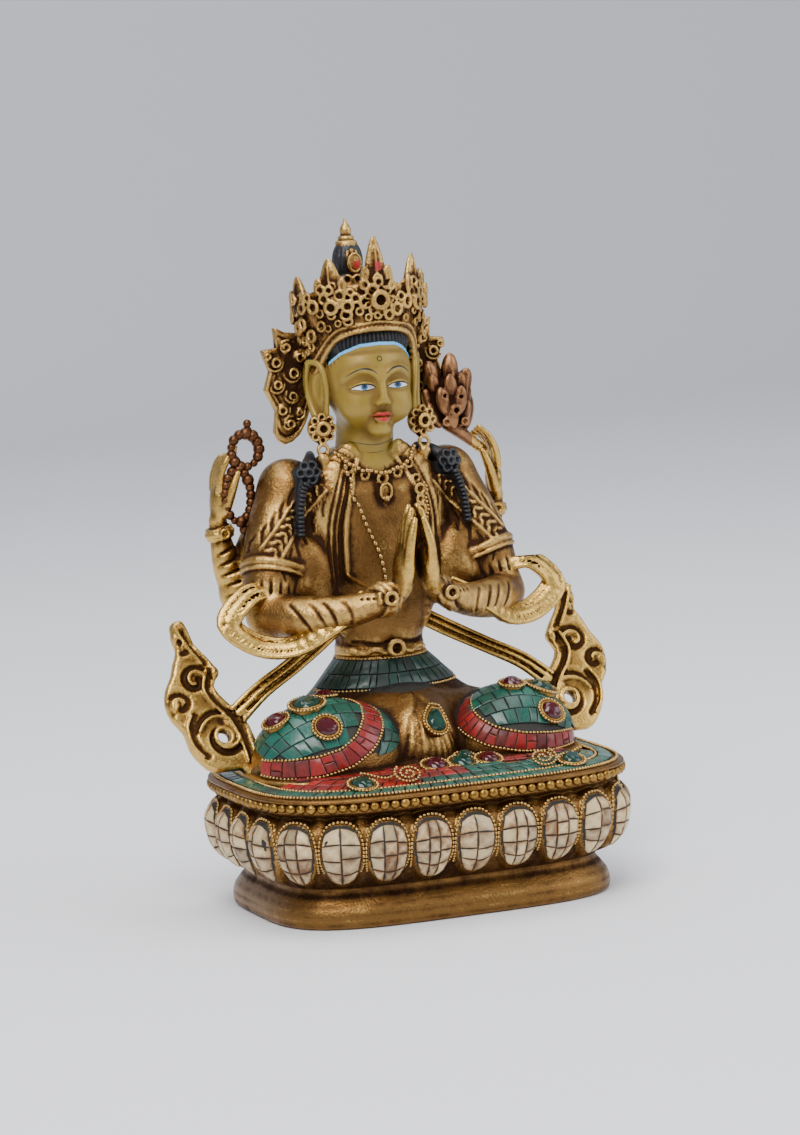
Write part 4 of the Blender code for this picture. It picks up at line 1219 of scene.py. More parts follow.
LOBES = {
    Side.RIGHT: Lobe(
        (-29.5, 0.0, 4.0),
        (25.5, 19.0, 20.0),
        (-0.10, -0.30),
        (
            (196, 5, 6), (222, 4, 7.5), (248, 6, 8), (268, 12, 8), (284, 23, 8), (298, 36, 8),
            (316, 50, 7.5), (346, 62, 6.5), (390, 68, 5)
        ),
    ),
    Side.LEFT: Lobe(
        (33.0, 0.0, 4.0),
        (22.0, 18.5, 18.5),
        (0.14, -0.26),
        (
            (168, 52, 8), (190, 40, 9.5), (212, 27, 9), (236, 15, 8.5), (262, 8, 8), (292, 5, 7.5),
            (322, 5, 6)
        ),
    ),
}


@dataclass(frozen=True)
class Stone:
    """A cut stone in its beaded setting.

    Args:
        node: the model's node it stands for.
        x: place across.
        y: place from front to back.
        radius: its radius.
        finish: its finish.
        drop: whether it is drawn out to a point at the back.
    """

    node: str
    x: float
    y: float
    radius: float
    finish: Finish
    drop: bool = False


STONES = (
    Stone("garnet_outer_right_knee", -47.0, -2.0, 3.4, GARNET),
    Stone("emerald_top_right_knee", -37.0, -3.0, 4.4, EMERALD),
    Stone("garnet_top_right_knee", -28.5, 4.0, 3.1, GARNET),
    Stone("garnet_front_right_knee", -35.0, -13.8, 3.5, GARNET),
    Stone("garnet_top_left_knee", 33.5, -3.5, 3.1, GARNET),
    Stone("emerald_top_left_knee", 43.8, -3.0, 4.2, EMERALD),
    Stone("garnet_front_left_knee", 42.0, -13.6, 3.4, GARNET),
    Stone("emerald_drop", 2.6, -11.4, 3.3, EMERALD, True),
    Stone("garnet_centre", -2.6, -23.3, 3.5, GARNET),
    Stone("emerald_centre", 6.6, -23.3, 3.5, EMERALD),
    Stone("garnet_inner", 15.6, -23.3, 3.3, GARNET),
    Stone("emerald_small", 10.8, -15.4, 2.7, EMERALD),
    Stone("emerald_front_right", -32.5, -35.5, 3.5, EMERALD),
    Stone("emerald_front_left", 38.8, -35.5, 3.3, EMERALD),
)

HIPS = (
    (0.0, 42.0, 20.0, 18.0), (14.0, 36.0, 19.0, 22.0), (24.0, 24.0, 15.5, 24.0), (33.0, 15.2, 12.8, 26.0),
    (36.0, 14.0, 12.2, 26.0)
)
TRUNK = (
    (28.0, 13.5, 11.5, 25.5), (35.0, 14.2, 12.2, 26.0), (42.0, 15.0, 12.4, 26.0),
    (51.0, 18.5, 13.0, 27.0),
    (62.0, 22.0, 14.0, 27.5), (75.0, 24.0, 14.5, 28.0), (88.0, 25.0, 13.5, 29.0),
    (96.0, 21.0, 11.5, 30.0), (101.0, 11.0, 9.0, 30.5),
)
FACING = (90.0, 0.0, 0.0)
LOCK = (
    (18.8, 31.0, 99.5, 1.4), (21.2, 25.0, 98.6, 1.9), (24.6, 20.6, 95.0, 2.3), (27.0, 18.4, 89.5, 1.5),
    (28.4, 17.0, 83.5, 1.4), (29.0, 16.2, 75.5, 1.1)
)
ROSETTE = (24.4, 19.6, 95.0)


class Body:
    """Legs, trunk, shawl, front arms and joined hands."""

    COATS = (BRONZE, GROUT, DARK_TURQUOISE, HAIR, GOLD, SKIN)
    SPLIT = 34.2

    def __init__(self, workshop: Workshop) -> None:
        self.workshop = workshop

    def build(self) -> tuple[bpy.types.Object, bpy.types.Object]:
        """Makes the legs and the upper body and hands them over."""
        lower = self.workshop.field((-57, -31, -0.6), (57, 47, 37), 0.66)
        self._legs(lower)
        self._trunk(lower)
        lower.merge(
            lambda x, y, z: self.SPLIT - z + 0 * x + 0 * y, (-57, -31, self.SPLIT - 1), (57, 47, 40),
            carve=True
        )
        legs = self.workshop.cast("figure_legs", lower, self.COATS, self._paint)
        upper = self.workshop.field((-54, -19, self.SPLIT - 3), (54, 47, 106), 0.46)
        upper.column(HIPS, 0)
        self._trunk(upper)
        for side in Side:
            self._arm(upper, side)
        self._hands(upper)
        self._jewels(upper)
        for side in Side:
            s = side.value
            upper.limb(mirrored(LOCK, side), 0.4)
            x, y, z = ROSETTE
            upper.ball((x * s, y, z), (3.4, 2.6, 3.4), blend=0.5)
            for k in range(6):
                a = math.tau * k / 6
                upper.boss(
                    (x * s + 2.6 * math.cos(a), y - 1.5, z + 2.6 * math.sin(a)), (80, 0, 20 * s), 1.5
                )
            upper.boss((x * s, y - 2.4, z), (80, 0, 20 * s), 1.5)
        upper.merge(
            lambda x, y, z: z - self.SPLIT + 0 * x + 0 * y, (-54, -19, 28), (54, 47, self.SPLIT + 1),
            carve=True
        )
        body = self.workshop.cast("figure_body", upper, self.COATS, self._paint)
        for obj in (legs, body):
            self.workshop.hand_over(obj, "figure_brass", "figure")
        return legs, body

    @staticmethod
    def _paint(spots: np.ndarray) -> np.ndarray:
        """Dark joints under the mosaics, green cloth at the hips and black locks on the shoulders."""
        x, y, z = spots.T
        out = np.zeros(len(spots), int)
        for lobe in LOBES.values():
            c, r = np.array(lobe.centre), np.array(lobe.radii)
            way = (spots - c) / r
            size = np.linalg.norm(way, axis=1)
            axis = np.array([*lobe.lean, 1.0])
            angle = np.arccos(np.clip(way @ (axis / np.linalg.norm(axis)) / size, -1, 1))
            out[(size < 1.06) & (angle < 1.12)] = 1
        out[(z > 23.6) & (z < 33.4) & (y < 30) & (np.abs(x) < 27)] = 1
        out[(z > 14) & (z < 33) & (y >= 22) & (np.abs(x) < 44)] = 2
        for side in Side:
            lock = smooth_path(mirrored(LOCK, side), 6)
            for row in lock:
                near = (x - row[0]) ** 2 + (y - row[1]) ** 2 + (z - row[2]) ** 2 < (row[3] + 0.6) ** 2
                out[near] = 3
            near = (
                x - ROSETTE[0] * side.value
            ) ** 2 + (y - ROSETTE[1] + 1) ** 2 + (z - ROSETTE[2]) ** 2 < 5.2**2
            out[near] = 3
        out[(z > 57) & (np.abs(x) < 8) & (y < -2.5)] = 4
        out[((x / 8.6) ** 2 + ((z - 104) / 9.8) ** 2 < 1) & (y < 24)] = 5
        return out

    @staticmethod
    def _legs(f: Field) -> None:
        def slab(x: np.ndarray, y: np.ndarray, z: np.ndarray) -> np.ndarray:
            flat = ((np.abs(x) / 56.0) ** 3.2 + (np.abs(y - 6.0) / 34.0) ** 3.2) ** (1 / 3.2)
            return np.maximum(np.maximum((flat - 1) * 38.0, z - 2.2), -z)

        f.merge(slab, (-57, -29, -0.5), (57, 41, 3))
        for lobe in LOBES.values():
            f.ball(lobe.centre, lobe.radii, blend=1.5)
        f.ball((0, 2, 6), (15, 16, 16.5), blend=3)
        f.ball((0, 9, 12), (22, 13, 13), blend=4)
        for side in Side:
            f.ball((20 * side.value, 14, 8), (20, 15, 14), blend=4)
        f.column(HIPS, 3)
        f.merge(lambda x, y, z: z + 0 * x + 0 * y, (-57, -31, -4), (57, 47, -0.05), carve=True)
        # pleats of the skirt fan out over the lap and hang between the knees
        for k in range(9):
            t = (k - 4) / 4
            f.trace(
                [
                    (3.0 * t + 1, 24 - 5 * abs(t), 0.2), (6.0 * t + 1, 16, 0.4),
                    (8.5 * t + 1.5 + 0.6 * (k % 2), 9, 0.42), (10.5 * t + 2, 3.6, 0.3)
                ],
                0.7, True
            )

    @staticmethod
    def _trunk(f: Field) -> None:
        f.column(TRUNK, 2.5)
        for side in Side:
            s = side.value
            f.ball((8.0 * s, 20.2, 83), (8.6, 5.4, 7.8), blend=5)
            # the shawl lies thin over the chest's sides
            f.limb(
                [
                    (9 * s, 22.5, 100, 3.2), (17 * s, 20.5, 91, 5.0), (20 * s, 20.5, 80, 5.0),
                    (19 * s, 21, 66, 4.4), (16.5 * s, 20.5, 54, 3.6), (14 * s, 21, 44, 2.4)
                ],
                2.5, thin=(0.5 * s, -1, 0.1), squash=2.2
            )

    def _arm(self, f: Field, side: Side) -> None:
        s = side.value
        put = lambda rows: mirrored(rows, side)
        f.ball((26 * s, 22, 60), (10, 8, 15), blend=3)
        f.ball((27.5 * s, 29.5, 89.0), (9.5, 9.5, 9.2), blend=3)
        f.limb(put([(28, 29, 90, 8.8), (34, 26, 76, 9.2), (38, 21.5, 62, 9.0), (40.5, 17, 50, 7.0)]), 2.5)
        f.limb(
            put(
                [
                    (41.5, 17.5, 51, 6.6), (33, 7, 50.5, 6.6), (20, -2, 52, 5.3), (8, -8.6, 56.5, 3.7),
                    (4.6, -9.4, 61, 2.9)
                ]
            ),
            2.0
        )
        self._shawl(f, side)
        # bell of the sleeve and its hem
        f.ring((36.6 * s, 22.4, 64.6), (9.9, 9.6), 1.2, (-18, -17 * s, 0), 1.2, count=20)
        f.ring((37.2 * s, 21.8, 62.6), (10.1, 9.9), 0.7, (-18, -17 * s, 0), 0.4, count=20)
        for k in range(9):
            a = math.radians(-90 + 20 * (k - 4))
            f.limb(
                [
                    (
                        37.4 * s + 10 * math.cos(a), 21.4 + 9.3 * math.sin(a), 64 + 1.4 * math.cos(a) * s,
                        0.3
                    ),
                    (38.6 * s + 9.0 * math.cos(a), 20.6 + 8.6 * math.sin(a), 57, 0.5)
                ],
                0.5, True, 1
            )
        # folds over the forearm
        for k, deep in enumerate((0.42, 0.3, 0.4, 0.28)):
            x = 35.5 - 4.6 * k - 0.7 * (k % 2)
            z = 50.6 + 0.1 * k
            f.trace(
                put(
                    [
                        (x + 2.6, z + 4.6, 0.2), (x + 0.8, z + 1.0, deep),
                        (x - 2.6 + k, z - 4.0 + k * 0.5, 0.2)
                    ]
                ),
                0.9, True
            )
        for off, wire in ((-1.8, 0.75), (0.0, 1.3), (1.8, 0.75)):
            f.ring(
                ((11.2 + off) * s, -7.2 + 0.2 * off, 55.4 - 0.35 * off), (4.9, 4.9), wire,
                (0, 80, -30 * s)
            )
        f.boss((10.4 * s, -12.2, 56.2), FACING, 2.2)

    @staticmethod
    def _shawl(f: Field, side: Side) -> None:
        """Edge, folds and the engraved leaf band of the shawl."""
        s = side.value

        def line(rows: Path) -> list[tuple[float, float, float]]:
            return [(s * x, z, r) for x, z, r in rows]

        f.trace(
            line([(6.5, 98, 0.7), (10.0, 91, 0.85), (13.0, 81, 0.85), (13.6, 68, 0.85), (13.0, 55, 0.7)]),
            0.5
        )
        for off in (1.8, 3.4, 5.2):
            f.trace(
                line(
                    [
                        (6.5 + off, 97.5, 0.3), (10.0 + off, 90, 0.5), (13.0 + off, 80, 0.55),
                        (13.6 + off, 68, 0.55), (13.0 + off, 56, 0.35)
                    ]
                ),
                0.5, True
            )
        # a band runs slanting over the upper arm between two cords
        start, end = np.array((21.0, 91.0)), np.array((40.0, 70.0))
        across = np.array((0.74, 0.67))
        for off in (-3.2, 3.2):
            a, b = start + across * off, end + across * off
            f.trace(line([(*(a + (b - a) * t), 0.6) for t in (0, 0.33, 0.66, 1.0)]), 0.3)
        for k in range(9):
            middle = start + (end - start) * (k + 0.5) / 9
            way = (end - start) / np.linalg.norm(end - start)
            for turn in (-1, 1):
                tip = middle + across * 2.0 * turn + way * 1.4
                f.trace(
                    line(
                        [
                            (*(middle - way * 1.0), 0.35), (*(middle + across * 0.9 * turn), 0.7),
                            (*tip, 0.4)
                        ]
                    ),
                    0.2, lift=0.2
                )
            f.trace(line([(*(middle - across * 2.2), 0.3), (*(middle + across * 2.2), 0.3)]), 0.2, True)
        for k in range(6):
            a = start + across * (5.2 + 0.2 * k) + (end - start) * (0.05 + 0.17 * k)
            f.trace(line([(*a, 0.3), (*(a + (1.6, -2.6)), 0.5), (*(a + (2.4, -5.4)), 0.3)]), 0.5, True)
            b = start - across * 5.0 + (end - start) * (0.1 + 0.17 * k)
            f.trace(line([(*b, 0.3), (*(b + (1.2, -2.6)), 0.5), (*(b + (0.8, -6.0)), 0.3)]), 0.5, True)

    @staticmethod
    def _hands(f: Field) -> None:
        for side in Side:
            s = side.value
            f.ball((4.0 * s, -9.0, 65.0), (3.3, 5.8, 8.4), (0, -6 * s, 0), 1.6)
            for y, tip in ((-14.2, 80.5), (-11.7, 83.5), (-9.2, 84.4), (-6.8, 81.6)):
                f.limb(
                    [
                        (4.0 * s, y + 0.6, 67, 1.65), (3.4 * s, y, 73, 1.5),
                        (2.3 * s, y + 0.2, tip - 3, 1.35), (1.5 * s, y + 0.4, tip, 1.0)
                    ],
                    0.3
                )
            f.limb([(4.4 * s, -4.6, 62, 1.9), (3.2 * s, -3.6, 68, 1.7), (2.2 * s, -4.0, 74.5, 1.2)], 0.7)

    @staticmethod
    def _jewels(f: Field) -> None:
        for x, z, size in (
            (-10.4, 95.4, 1.5), (-5.6, 93.0, 1.6), (0.0, 91.6, 1.9), (5.6, 93.0, 1.6), (10.4, 95.4, 1.5)
        ):
            f.boss((x, f.front(x, z, 0.3), z), (100, 0, 0), size)
        f.ball((0, f.front(0, 87.4, 0.4), 87.4), (1.9, 1.4, 2.6), blend=0.2)
        f.ring((0, f.front(0, 87.4, 0.2), 87.4), (2.0, 2.7), 0.45, FACING)
        f.trace([(0, 85.2, 1.0), (0, 82.8, 0.4)], 0.2)
        # waved edge of the cloth over the belt, the clasp and the navel
        f.trace([(x, 35.6 + 0.7 * math.sin(x * 0.8), 0.9) for x in np.linspace(-13, 13, 14)], 0.5)
        f.trace(
            [(x, 38.4 + 0.5 * math.sin(x * 0.5 + 1), 0.4) for x in np.linspace(-12, 12, 10)], 0.4, True
        )
        f.boss((0, 12.0, 36.6), FACING, 2.8)
        f.ball((0, f.front(0, 56), 56.0), (0.9, 1.0, 1.2), blend=0.4, carve=True)
        # long drop on the left of the chest
        for k, size in enumerate((1.4, 1.8, 1.4, 2.1, 1.5)):
            z = 90.5 - 3.3 * k
            f.boss((12.0 - 0.1 * k, f.front(12, z, 0.5), z), FACING, size)
        f.trace([(11.4, 75.4, 1.4), (11.2, 71.0, 0.4)], 0.3, lift=0.3)


class RearArms:
    """The two arms behind: one holds the rosary, the other the lotus."""

    def __init__(self, workshop: Workshop) -> None:
        self.workshop = workshop

    def build(self) -> None:
        """Makes both arms, with the lotus that the left one holds, and hands them over."""
        for side in Side:
            s = side.value
            low, high = sorted((18 * s, 57 * s))
            f = self.workshop.field((low, 23, 48), (high, 48, 133), 0.52)
            put = lambda rows: mirrored(rows, side)
            f.limb(put([(25, 36, 87, 7), (35, 39, 72, 6.5), (43, 40.5, 55, 5.7)]), 1.5)
            f.limb(
                put(
                    [
                        (42, 40.5, 54, 5.3), (45.8, 40, 64, 4.7), (48.3, 39.2, 76, 3.2),
                        (48.8, 38.5, 80, 3.0)
                    ]
                ),
                1.5
            )
            for off, wire in ((-1.5, 0.6), (0.0, 1.1), (1.5, 0.6)):
                f.ring(((48.2 + 0.2 * off) * s, 39.2, 76 + off), (4.0, 4.0), wire, (0, 12 * s, 0))
            f.boss((48.0 * s, 34.9, 76), FACING, 1.7)
            for k in range(5):
                z = 57 + 3.4 * k
                f.limb(
                    put(
                        [
                            (39 + 1.3 * k, 37, z + 1, 0.3), (43.5 + k, 34.8 + 0.3 * k, z - 0.6, 0.5),
                            (48.5 + 0.6 * k, 37.5, z - 2, 0.3)
                        ]
                    ),
                    0.6, True
                )
            f.ball((48.6 * s, 38.2, 85), (2.5, 4.3, 7.6), blend=1.0)
            for k in range(4):
                y = 34.9 + 2.2 * k
                f.limb(
                    put(
                        [
                            (48.9, y, 90, 1.35), (48.4, y - 0.3, 95, 1.25), (46.0, y - 0.7, 100, 1.15),
                            (42.8 - 0.4 * k, y * 0.7 + 10.6, 103.5 - k, 0.9)
                        ]
                    ),
                    0.3
                )
            f.limb(put([(47.5, 35, 83, 1.9), (45.2, 33.4, 90, 1.6), (43.0, 33.2, 95.5, 1.1)]), 0.6)
            if side is Side.LEFT:
                self._lotus(f)
            copper = (
                lambda p: ((p[:, 2] > 104) & (p[:, 0] < 42)) | ((p[:, 2] > 93) & (p[:, 0] < 39))
            ) if s > 0 else (lambda p: p[:, 2] < 0)
            obj = self.workshop.cast(
                f"figure_rear_arm_{side.name.lower()}", f, (GOLD, COPPER), lambda p: copper(p).astype(int)
            )
            self.workshop.hand_over(obj, "figure_brass", "figure")

    @staticmethod
    def _lotus(f: Field) -> None:
        f.limb([(44, 36, 96, 1.7), (37, 33, 101, 2.0), (30, 29.5, 106, 2.8)], 0.8)
        f.ball((29.5, 29.5, 113), (6.6, 4.8, 8.2), blend=1)
        rows = ((107.5, 5.4, 5, 4.8, 28), (112.0, 6.0, 6, 5.0, 22), (116.5, 4.6, 5, 4.6, 14))
        for z, reach, count, size, lean in rows:
            for k in range(count):
                a = math.tau * (k + 0.5 * (size == 5.0)) / count - math.pi / 2
                x, y = 29.5 + reach * math.cos(a), 29.5 + reach * 0.8 * math.sin(a)
                turn = (0, lean * math.cos(a), 0)
                f.ball((x, y, z + 1.5), (2.4, 1.3 + 0.6 * abs(math.cos(a)), size), turn, 0.25)
        for x, y, z, lean in (
            (36.5, 31, 109.5, 8), (35.3, 30, 117.5, 22), (31, 29.5, 122.5, 4), (25, 30, 120.5, -14)
        ):
            f.ball((x, y, z), (3.0, 2.4, 6.6), (0, lean, 0), 0.3)
            f.limb(
                [
                    (x, y - 2.3, z - 5, 0.4), (x + lean * 0.04, y - 2.7, z, 0.5),
                    (x + lean * 0.1, y - 1.2, z + 5.6, 0.3)
                ],
                0.2
            )
        for x, z, size in (
            (30.5, 110.5, 1.7), (27.2, 106.8, 1.4), (33.8, 106.6, 1.4), (26.8, 115.5, 1.3),
            (32.6, 114.8, 1.3)
        ):
            f.boss((x, 24.6 + abs(x - 30) * 0.25, z), FACING, size)


class Head:
    """Face, ears, neck and hair under the crown."""

    EAR_INNER = 14.2
    EAR_BACK = 31.5
    EAR_TOP = 130.5
    NECK_TOP = 101
    LIFT = 4.4

    def __init__(self, workshop: Workshop) -> None:
        self.workshop = workshop

    def build(self) -> None:
        """Makes the head, paints it and hands it over."""
        f = self.workshop.field((-20, 7.5, 93), (20, 47, 147), 0.36)
        f.ball((0, 29, 126.5), (15.6, 16, 16.5), blend=0)
        f.limb([(0, 31, 94, 10.3), (0, 30, 101, 9.5), (0, 28, 112, 9.2)], 2.0)
        f.low[2] -= self.LIFT
        f.ball((0, 23.6, 117), (13.4, 11.4, 15.8), blend=3)
        self._face(f)
        f.low[2] += self.LIFT
        for side in Side:
            self._ear(f, side)
        self._hair(f)
        obj = self.workshop.cast("figure_head", f, (SKIN, HAIR, HAIRLINE), self._paint)
        self.workshop.hand_over(obj, "figure_brass", "figure")
        self._paint_features(Drape(obj))

    @staticmethod
    def _face(f: Field) -> None:
        """Calm, even features by the usual proportions, about a face whose eyes are at its middle height."""
        for side in Side:
            s = side.value
            f.ball((6.6 * s, 17.6, 110.6), (5.2, 4.6, 5.4), blend=4)
            f.ball((6.0 * s, 10.4, 117.6), (4.8, 1.7, 2.3), (0, 6 * s, 0), 2.4, True)
            f.ball((5.9 * s, 15.2, 117.0), (4.0, 2.7, 2.3), blend=0.8)
            f.limb(
                mirrored(
                    [
                        (2.0, 12.6, 117.1, 0.3), (3.9, 11.7, 118.1, 0.42), (6.2, 11.9, 118.5, 0.45),
                        (8.6, 13.2, 117.9, 0.38), (10.2, 14.9, 116.9, 0.25)
                    ],
                    side
                ),
                0.6
            )
            f.limb(
                mirrored(
                    [
                        (1.4, 11.8, 120.4, 0.6), (4.0, 11.8, 122.0, 0.7), (7.6, 13.4, 122.3, 0.7),
                        (11.0, 17.0, 120.2, 0.5)
                    ],
                    side
                ),
                2.2
            )
            f.ball((1.6 * s, 11.6, 111.7), (1.1, 1.3, 0.95), blend=0.9)
            f.ball((0.9 * s, 11.0, 110.9), (0.5, 0.6, 0.4), blend=0.3, carve=True)
        f.limb([(0, 12.9, 121.5, 0.9), (0, 11.6, 117.5, 1.1), (0, 10.9, 113.8, 1.3)], 1.6)
        f.ball((0, 10.95, 112.5), (1.5, 1.5, 1.35), blend=0.9)
        f.limb(
            [
                (-3.3, 13.0, 107.5, 0.25), (-1.4, 12.0, 108.2, 0.6), (0, 11.9, 108.0, 0.58),
                (1.4, 12.0, 108.2, 0.6), (3.3, 13.0, 107.5, 0.25)
            ],
            0.8
        )
        f.limb([(-2.6, 12.9, 106.7, 0.3), (0, 12.0, 106.1, 0.9), (2.6, 12.9, 106.7, 0.3)], 0.8)
        f.limb(
            [(-3.4, 12.9, 107.35, 0.12), (0, 11.2, 107.15, 0.16), (3.4, 12.9, 107.35, 0.12)], 0.5, True
        )
        f.ball((0, 15.4, 102.9), (3.6, 3.2, 2.6), blend=3)

    @staticmethod
    def _hairline(spots: np.ndarray) -> np.ndarray:
        """Height of each point over the hairline."""
        angle = np.abs(np.arctan2(spots[:, 0], 31 - spots[:, 1]))
        line = np.interp(
            angle, (0, 0.35, 0.75, 1.1, 1.3, 1.5, 1.7, 2.2),
            (135.0, 134.6, 132.0, 128.0, 122.5, 114, 106, 103)
        )
        return spots[:, 2] - line

    def _paint(self, spots: np.ndarray) -> np.ndarray:
        """Black above the hairline, and skin at the ears and on the neck."""
        over = self._hairline(spots)
        ear = (
            np.abs(spots[:, 0]) > self.EAR_INNER
        ) & (spots[:, 1] < self.EAR_BACK) & (spots[:, 2] < self.EAR_TOP)
        out = np.where(over > 0, 1, 0)
        return np.where(ear | (spots[:, 2] < self.NECK_TOP), 0, out)

    @staticmethod
    def _ear(f: Field, side: Side) -> None:
        s = side.value
        f.ball((16.0 * s, 26.5, 121.0), (1.5, 4.4, 9.2), (0, 0, -24 * s), 0.8)
        rim = [
            (15.2, 22.4, 116, 0.8), (15.4, 21.6, 122, 0.9), (16.4, 23.4, 128.4, 1.1),
            (18.6, 27.6, 129.6, 1.2), (19.4, 29.6, 124, 1.2), (18.6, 28.4, 117, 1.1),
            (17.2, 25.8, 111.0, 1.5), (15.6, 23.4, 111.8, 1.2)
        ]
        f.limb(mirrored(rim, side), 0.4, closed=True)
        f.ball((18.0 * s, 25.2, 121.5), (1.6, 2.4, 5.8), (0, 0, -24 * s), 0.4, True)
        f.limb(
            mirrored(
                [
                    (16.6, 25.6, 126.4, 0.45), (17.3, 27.6, 122.0, 0.6), (16.6, 26.2, 117.6, 0.5),
                    (15.8, 24.4, 118.6, 0.5)
                ],
                side
            ),
            0.3
        )

    @staticmethod
    def _hair(f: Field) -> None:
        f.ball((0, 28.5, 136), (16.4, 15.8, 9), blend=1.0)
        for k in range(46):
            a = math.radians(-112 + 224 * k / 45)
            s, c = math.sin(a), math.cos(a)
            low = float(np.interp(abs(a), (0, 0.75, 1.3, 1.6, 2.2), (136, 133, 125, 114, 109)))
            rows = []
            for z in (low, (low + 141) / 2, 141.5):
                g = math.sqrt(max(0.0, 1 - ((z - 126.5) / 16.5) ** 2))
                cap = math.sqrt(max(0.0, 1 - ((z - 136) / 9) ** 2)) if abs(z - 136) < 9 else 0.0
                rx, ry = max(15.6 * g, 16.4 * cap), max(16 * g, 15.8 * cap)
                rows.append((rx * s, 28.8 - ry * c, z, 0.4))
            f.limb(rows, 0.3, True, 3)

    def _ribbon(
        self, drape: Drape, rows: Path, lift: float
    ) -> tuple[list[np.ndarray], list[tuple[int, ...]]]:
        """A thin painted stroke laid on the face through (x, z, half-width)."""
        path = smooth_path([(x, z + self.LIFT, half) for x, z, half in rows], 7)
        along = np.gradient(path[:, :2], axis=0)
        across = np.c_[-along[:, 1], along[:, 0]] / (np.linalg.norm(along, axis=1, keepdims=True) + 1e-9)
        points: list[np.ndarray] = []
        columns = 5
        for (x, z, half), (ax, az) in zip(path, across):
            for k in range(columns):
                t = (k / (columns - 1) * 2 - 1) * half
                found = drape.hit((x + ax * t, 0.0, z + az * t + FIGURE_FLOOR), (0, 1, 0))
                spot, normal = found if found else (
                    np.array((x, 12.0, z + FIGURE_FLOOR)), np.array((0, -1.0, 0))
                )
                points.append(spot + normal * lift)
        faces = []
        for i in range(len(path) - 1):
            for k in range(columns - 1):
                a = i * columns + k
                faces.append((a, a + 1, a + columns + 1, a + columns))
        return points, faces

    def _paint_features(self, drape: Drape) -> None:
        """Eyes, brows, lips, the mark on the forehead and the lines of neck and lids."""
        coats: dict[str, tuple[Finish, list, list]] = {}

        def stroke(finish: Finish, rows: Path, lift: float = 0.05) -> None:
            _, points, faces = coats.setdefault(finish.name, (finish, [], []))
            new_points, new_faces = self._ribbon(drape, rows, lift)
            first = len(points)
            points.extend(new_points)
            faces.extend(tuple(i + first for i in face) for face in new_faces)

        for side in Side:
            s = side.value
            stroke(
                EYE_WHITE,
                mirrored(
                    [
                        (2.4, 116.75, 0.1), (3.8, 116.95, 0.6), (5.8, 116.95, 0.85), (7.9, 116.9, 0.6),
                        (9.6, 116.65, 0.08)
                    ],
                    side
                ),
                0.05
            )
            stroke(
                IRIS,
                [
                    ((5.8 - 1.15) * s, 117.0, 0.15), ((5.8 - 0.7) * s, 117.0, 0.75),
                    (5.8 * s, 117.0, 0.84), ((5.8 + 0.7) * s, 117.0, 0.75),
                    ((5.8 + 1.15) * s, 117.0, 0.15)
                ],
                0.09
            )
            stroke(
                INK,
                [((5.8 - 0.45) * s, 117.1, 0.2), (5.8 * s, 117.1, 0.48), ((5.8 + 0.45) * s, 117.1, 0.2)],
                0.12
            )
            stroke(
                INK,
                mirrored(
                    [
                        (1.9, 116.7, 0.06), (3.6, 117.7, 0.2), (5.9, 118.0, 0.26), (8.2, 117.7, 0.2),
                        (10.4, 116.6, 0.06)
                    ],
                    side
                ),
                0.13
            )
            stroke(
                INK, mirrored([(2.6, 116.3, 0.04), (5.8, 115.95, 0.09), (9.2, 116.3, 0.04)], side), 0.11
            )
            stroke(
                INK,
                mirrored(
                    [(1.5, 121.1, 0.08), (4.2, 122.7, 0.26), (7.6, 122.7, 0.2), (10.9, 120.6, 0.06)], side
                ),
                0.1
            )
        stroke(
            LIPS,
            [
                (-3.5, 107.5, 0.08), (-1.5, 108.2, 0.55), (0, 107.95, 0.5), (1.5, 108.2, 0.55),
                (3.5, 107.5, 0.08)
            ],
            0.07
        )
        stroke(LIPS, [(-2.9, 107.0, 0.1), (0, 106.35, 0.72), (2.9, 107.0, 0.1)], 0.07)
        stroke(
            INK,
            [
                (0.75 * math.cos(t), 125.8 + 0.75 * math.sin(t), 0.13)
                for t in np.linspace(0, math.tau, 13)
            ],
            0.1
        )
        for z, reach in ((97.6, 7.8), (95.0, 8.2)):
            stroke(INK, [(-reach, z + 1.4, 0.08), (0, z, 0.14), (reach, z + 1.4, 0.08)], 0.1)
        points, faces = [], []
        angles = np.linspace(-1.12, 1.12, 90)
        for a in angles:
            out = np.array((math.sin(a), -math.cos(a), 0.0))
            start = np.array((16.6 * out[0], 28.8 + 16.6 * out[1], 0.0))
            line = -float(self._hairline(np.array([start]))[0])
            for k in range(5):
                place = start + (0, 0, line - 0.4 + 0.25 * k + FIGURE_FLOOR)
                found = drape.hit(place + out * 3.0, -out)
                points.append(found[0] + out * 0.14 if found else place)
        for i in range(len(angles) - 1):
            faces += [(5 * i + k, 5 * i + k + 1, 5 * i + k + 6, 5 * i + k + 5) for k in range(4)]
        coats["hairline"] = (HAIRLINE, points, faces)
        for finish, points, faces in coats.values():
            obj = new_mesh("face_" + finish.name, np.array(points), faces)
            obj.data.materials.append(self.workshop.palette.get(finish))
            set_relief(obj, np.zeros(len(points)))
            self.workshop.tint(obj, np.full(len(points), 0.5))
            self.workshop.hand_over(obj, "figure_brass", "figure")


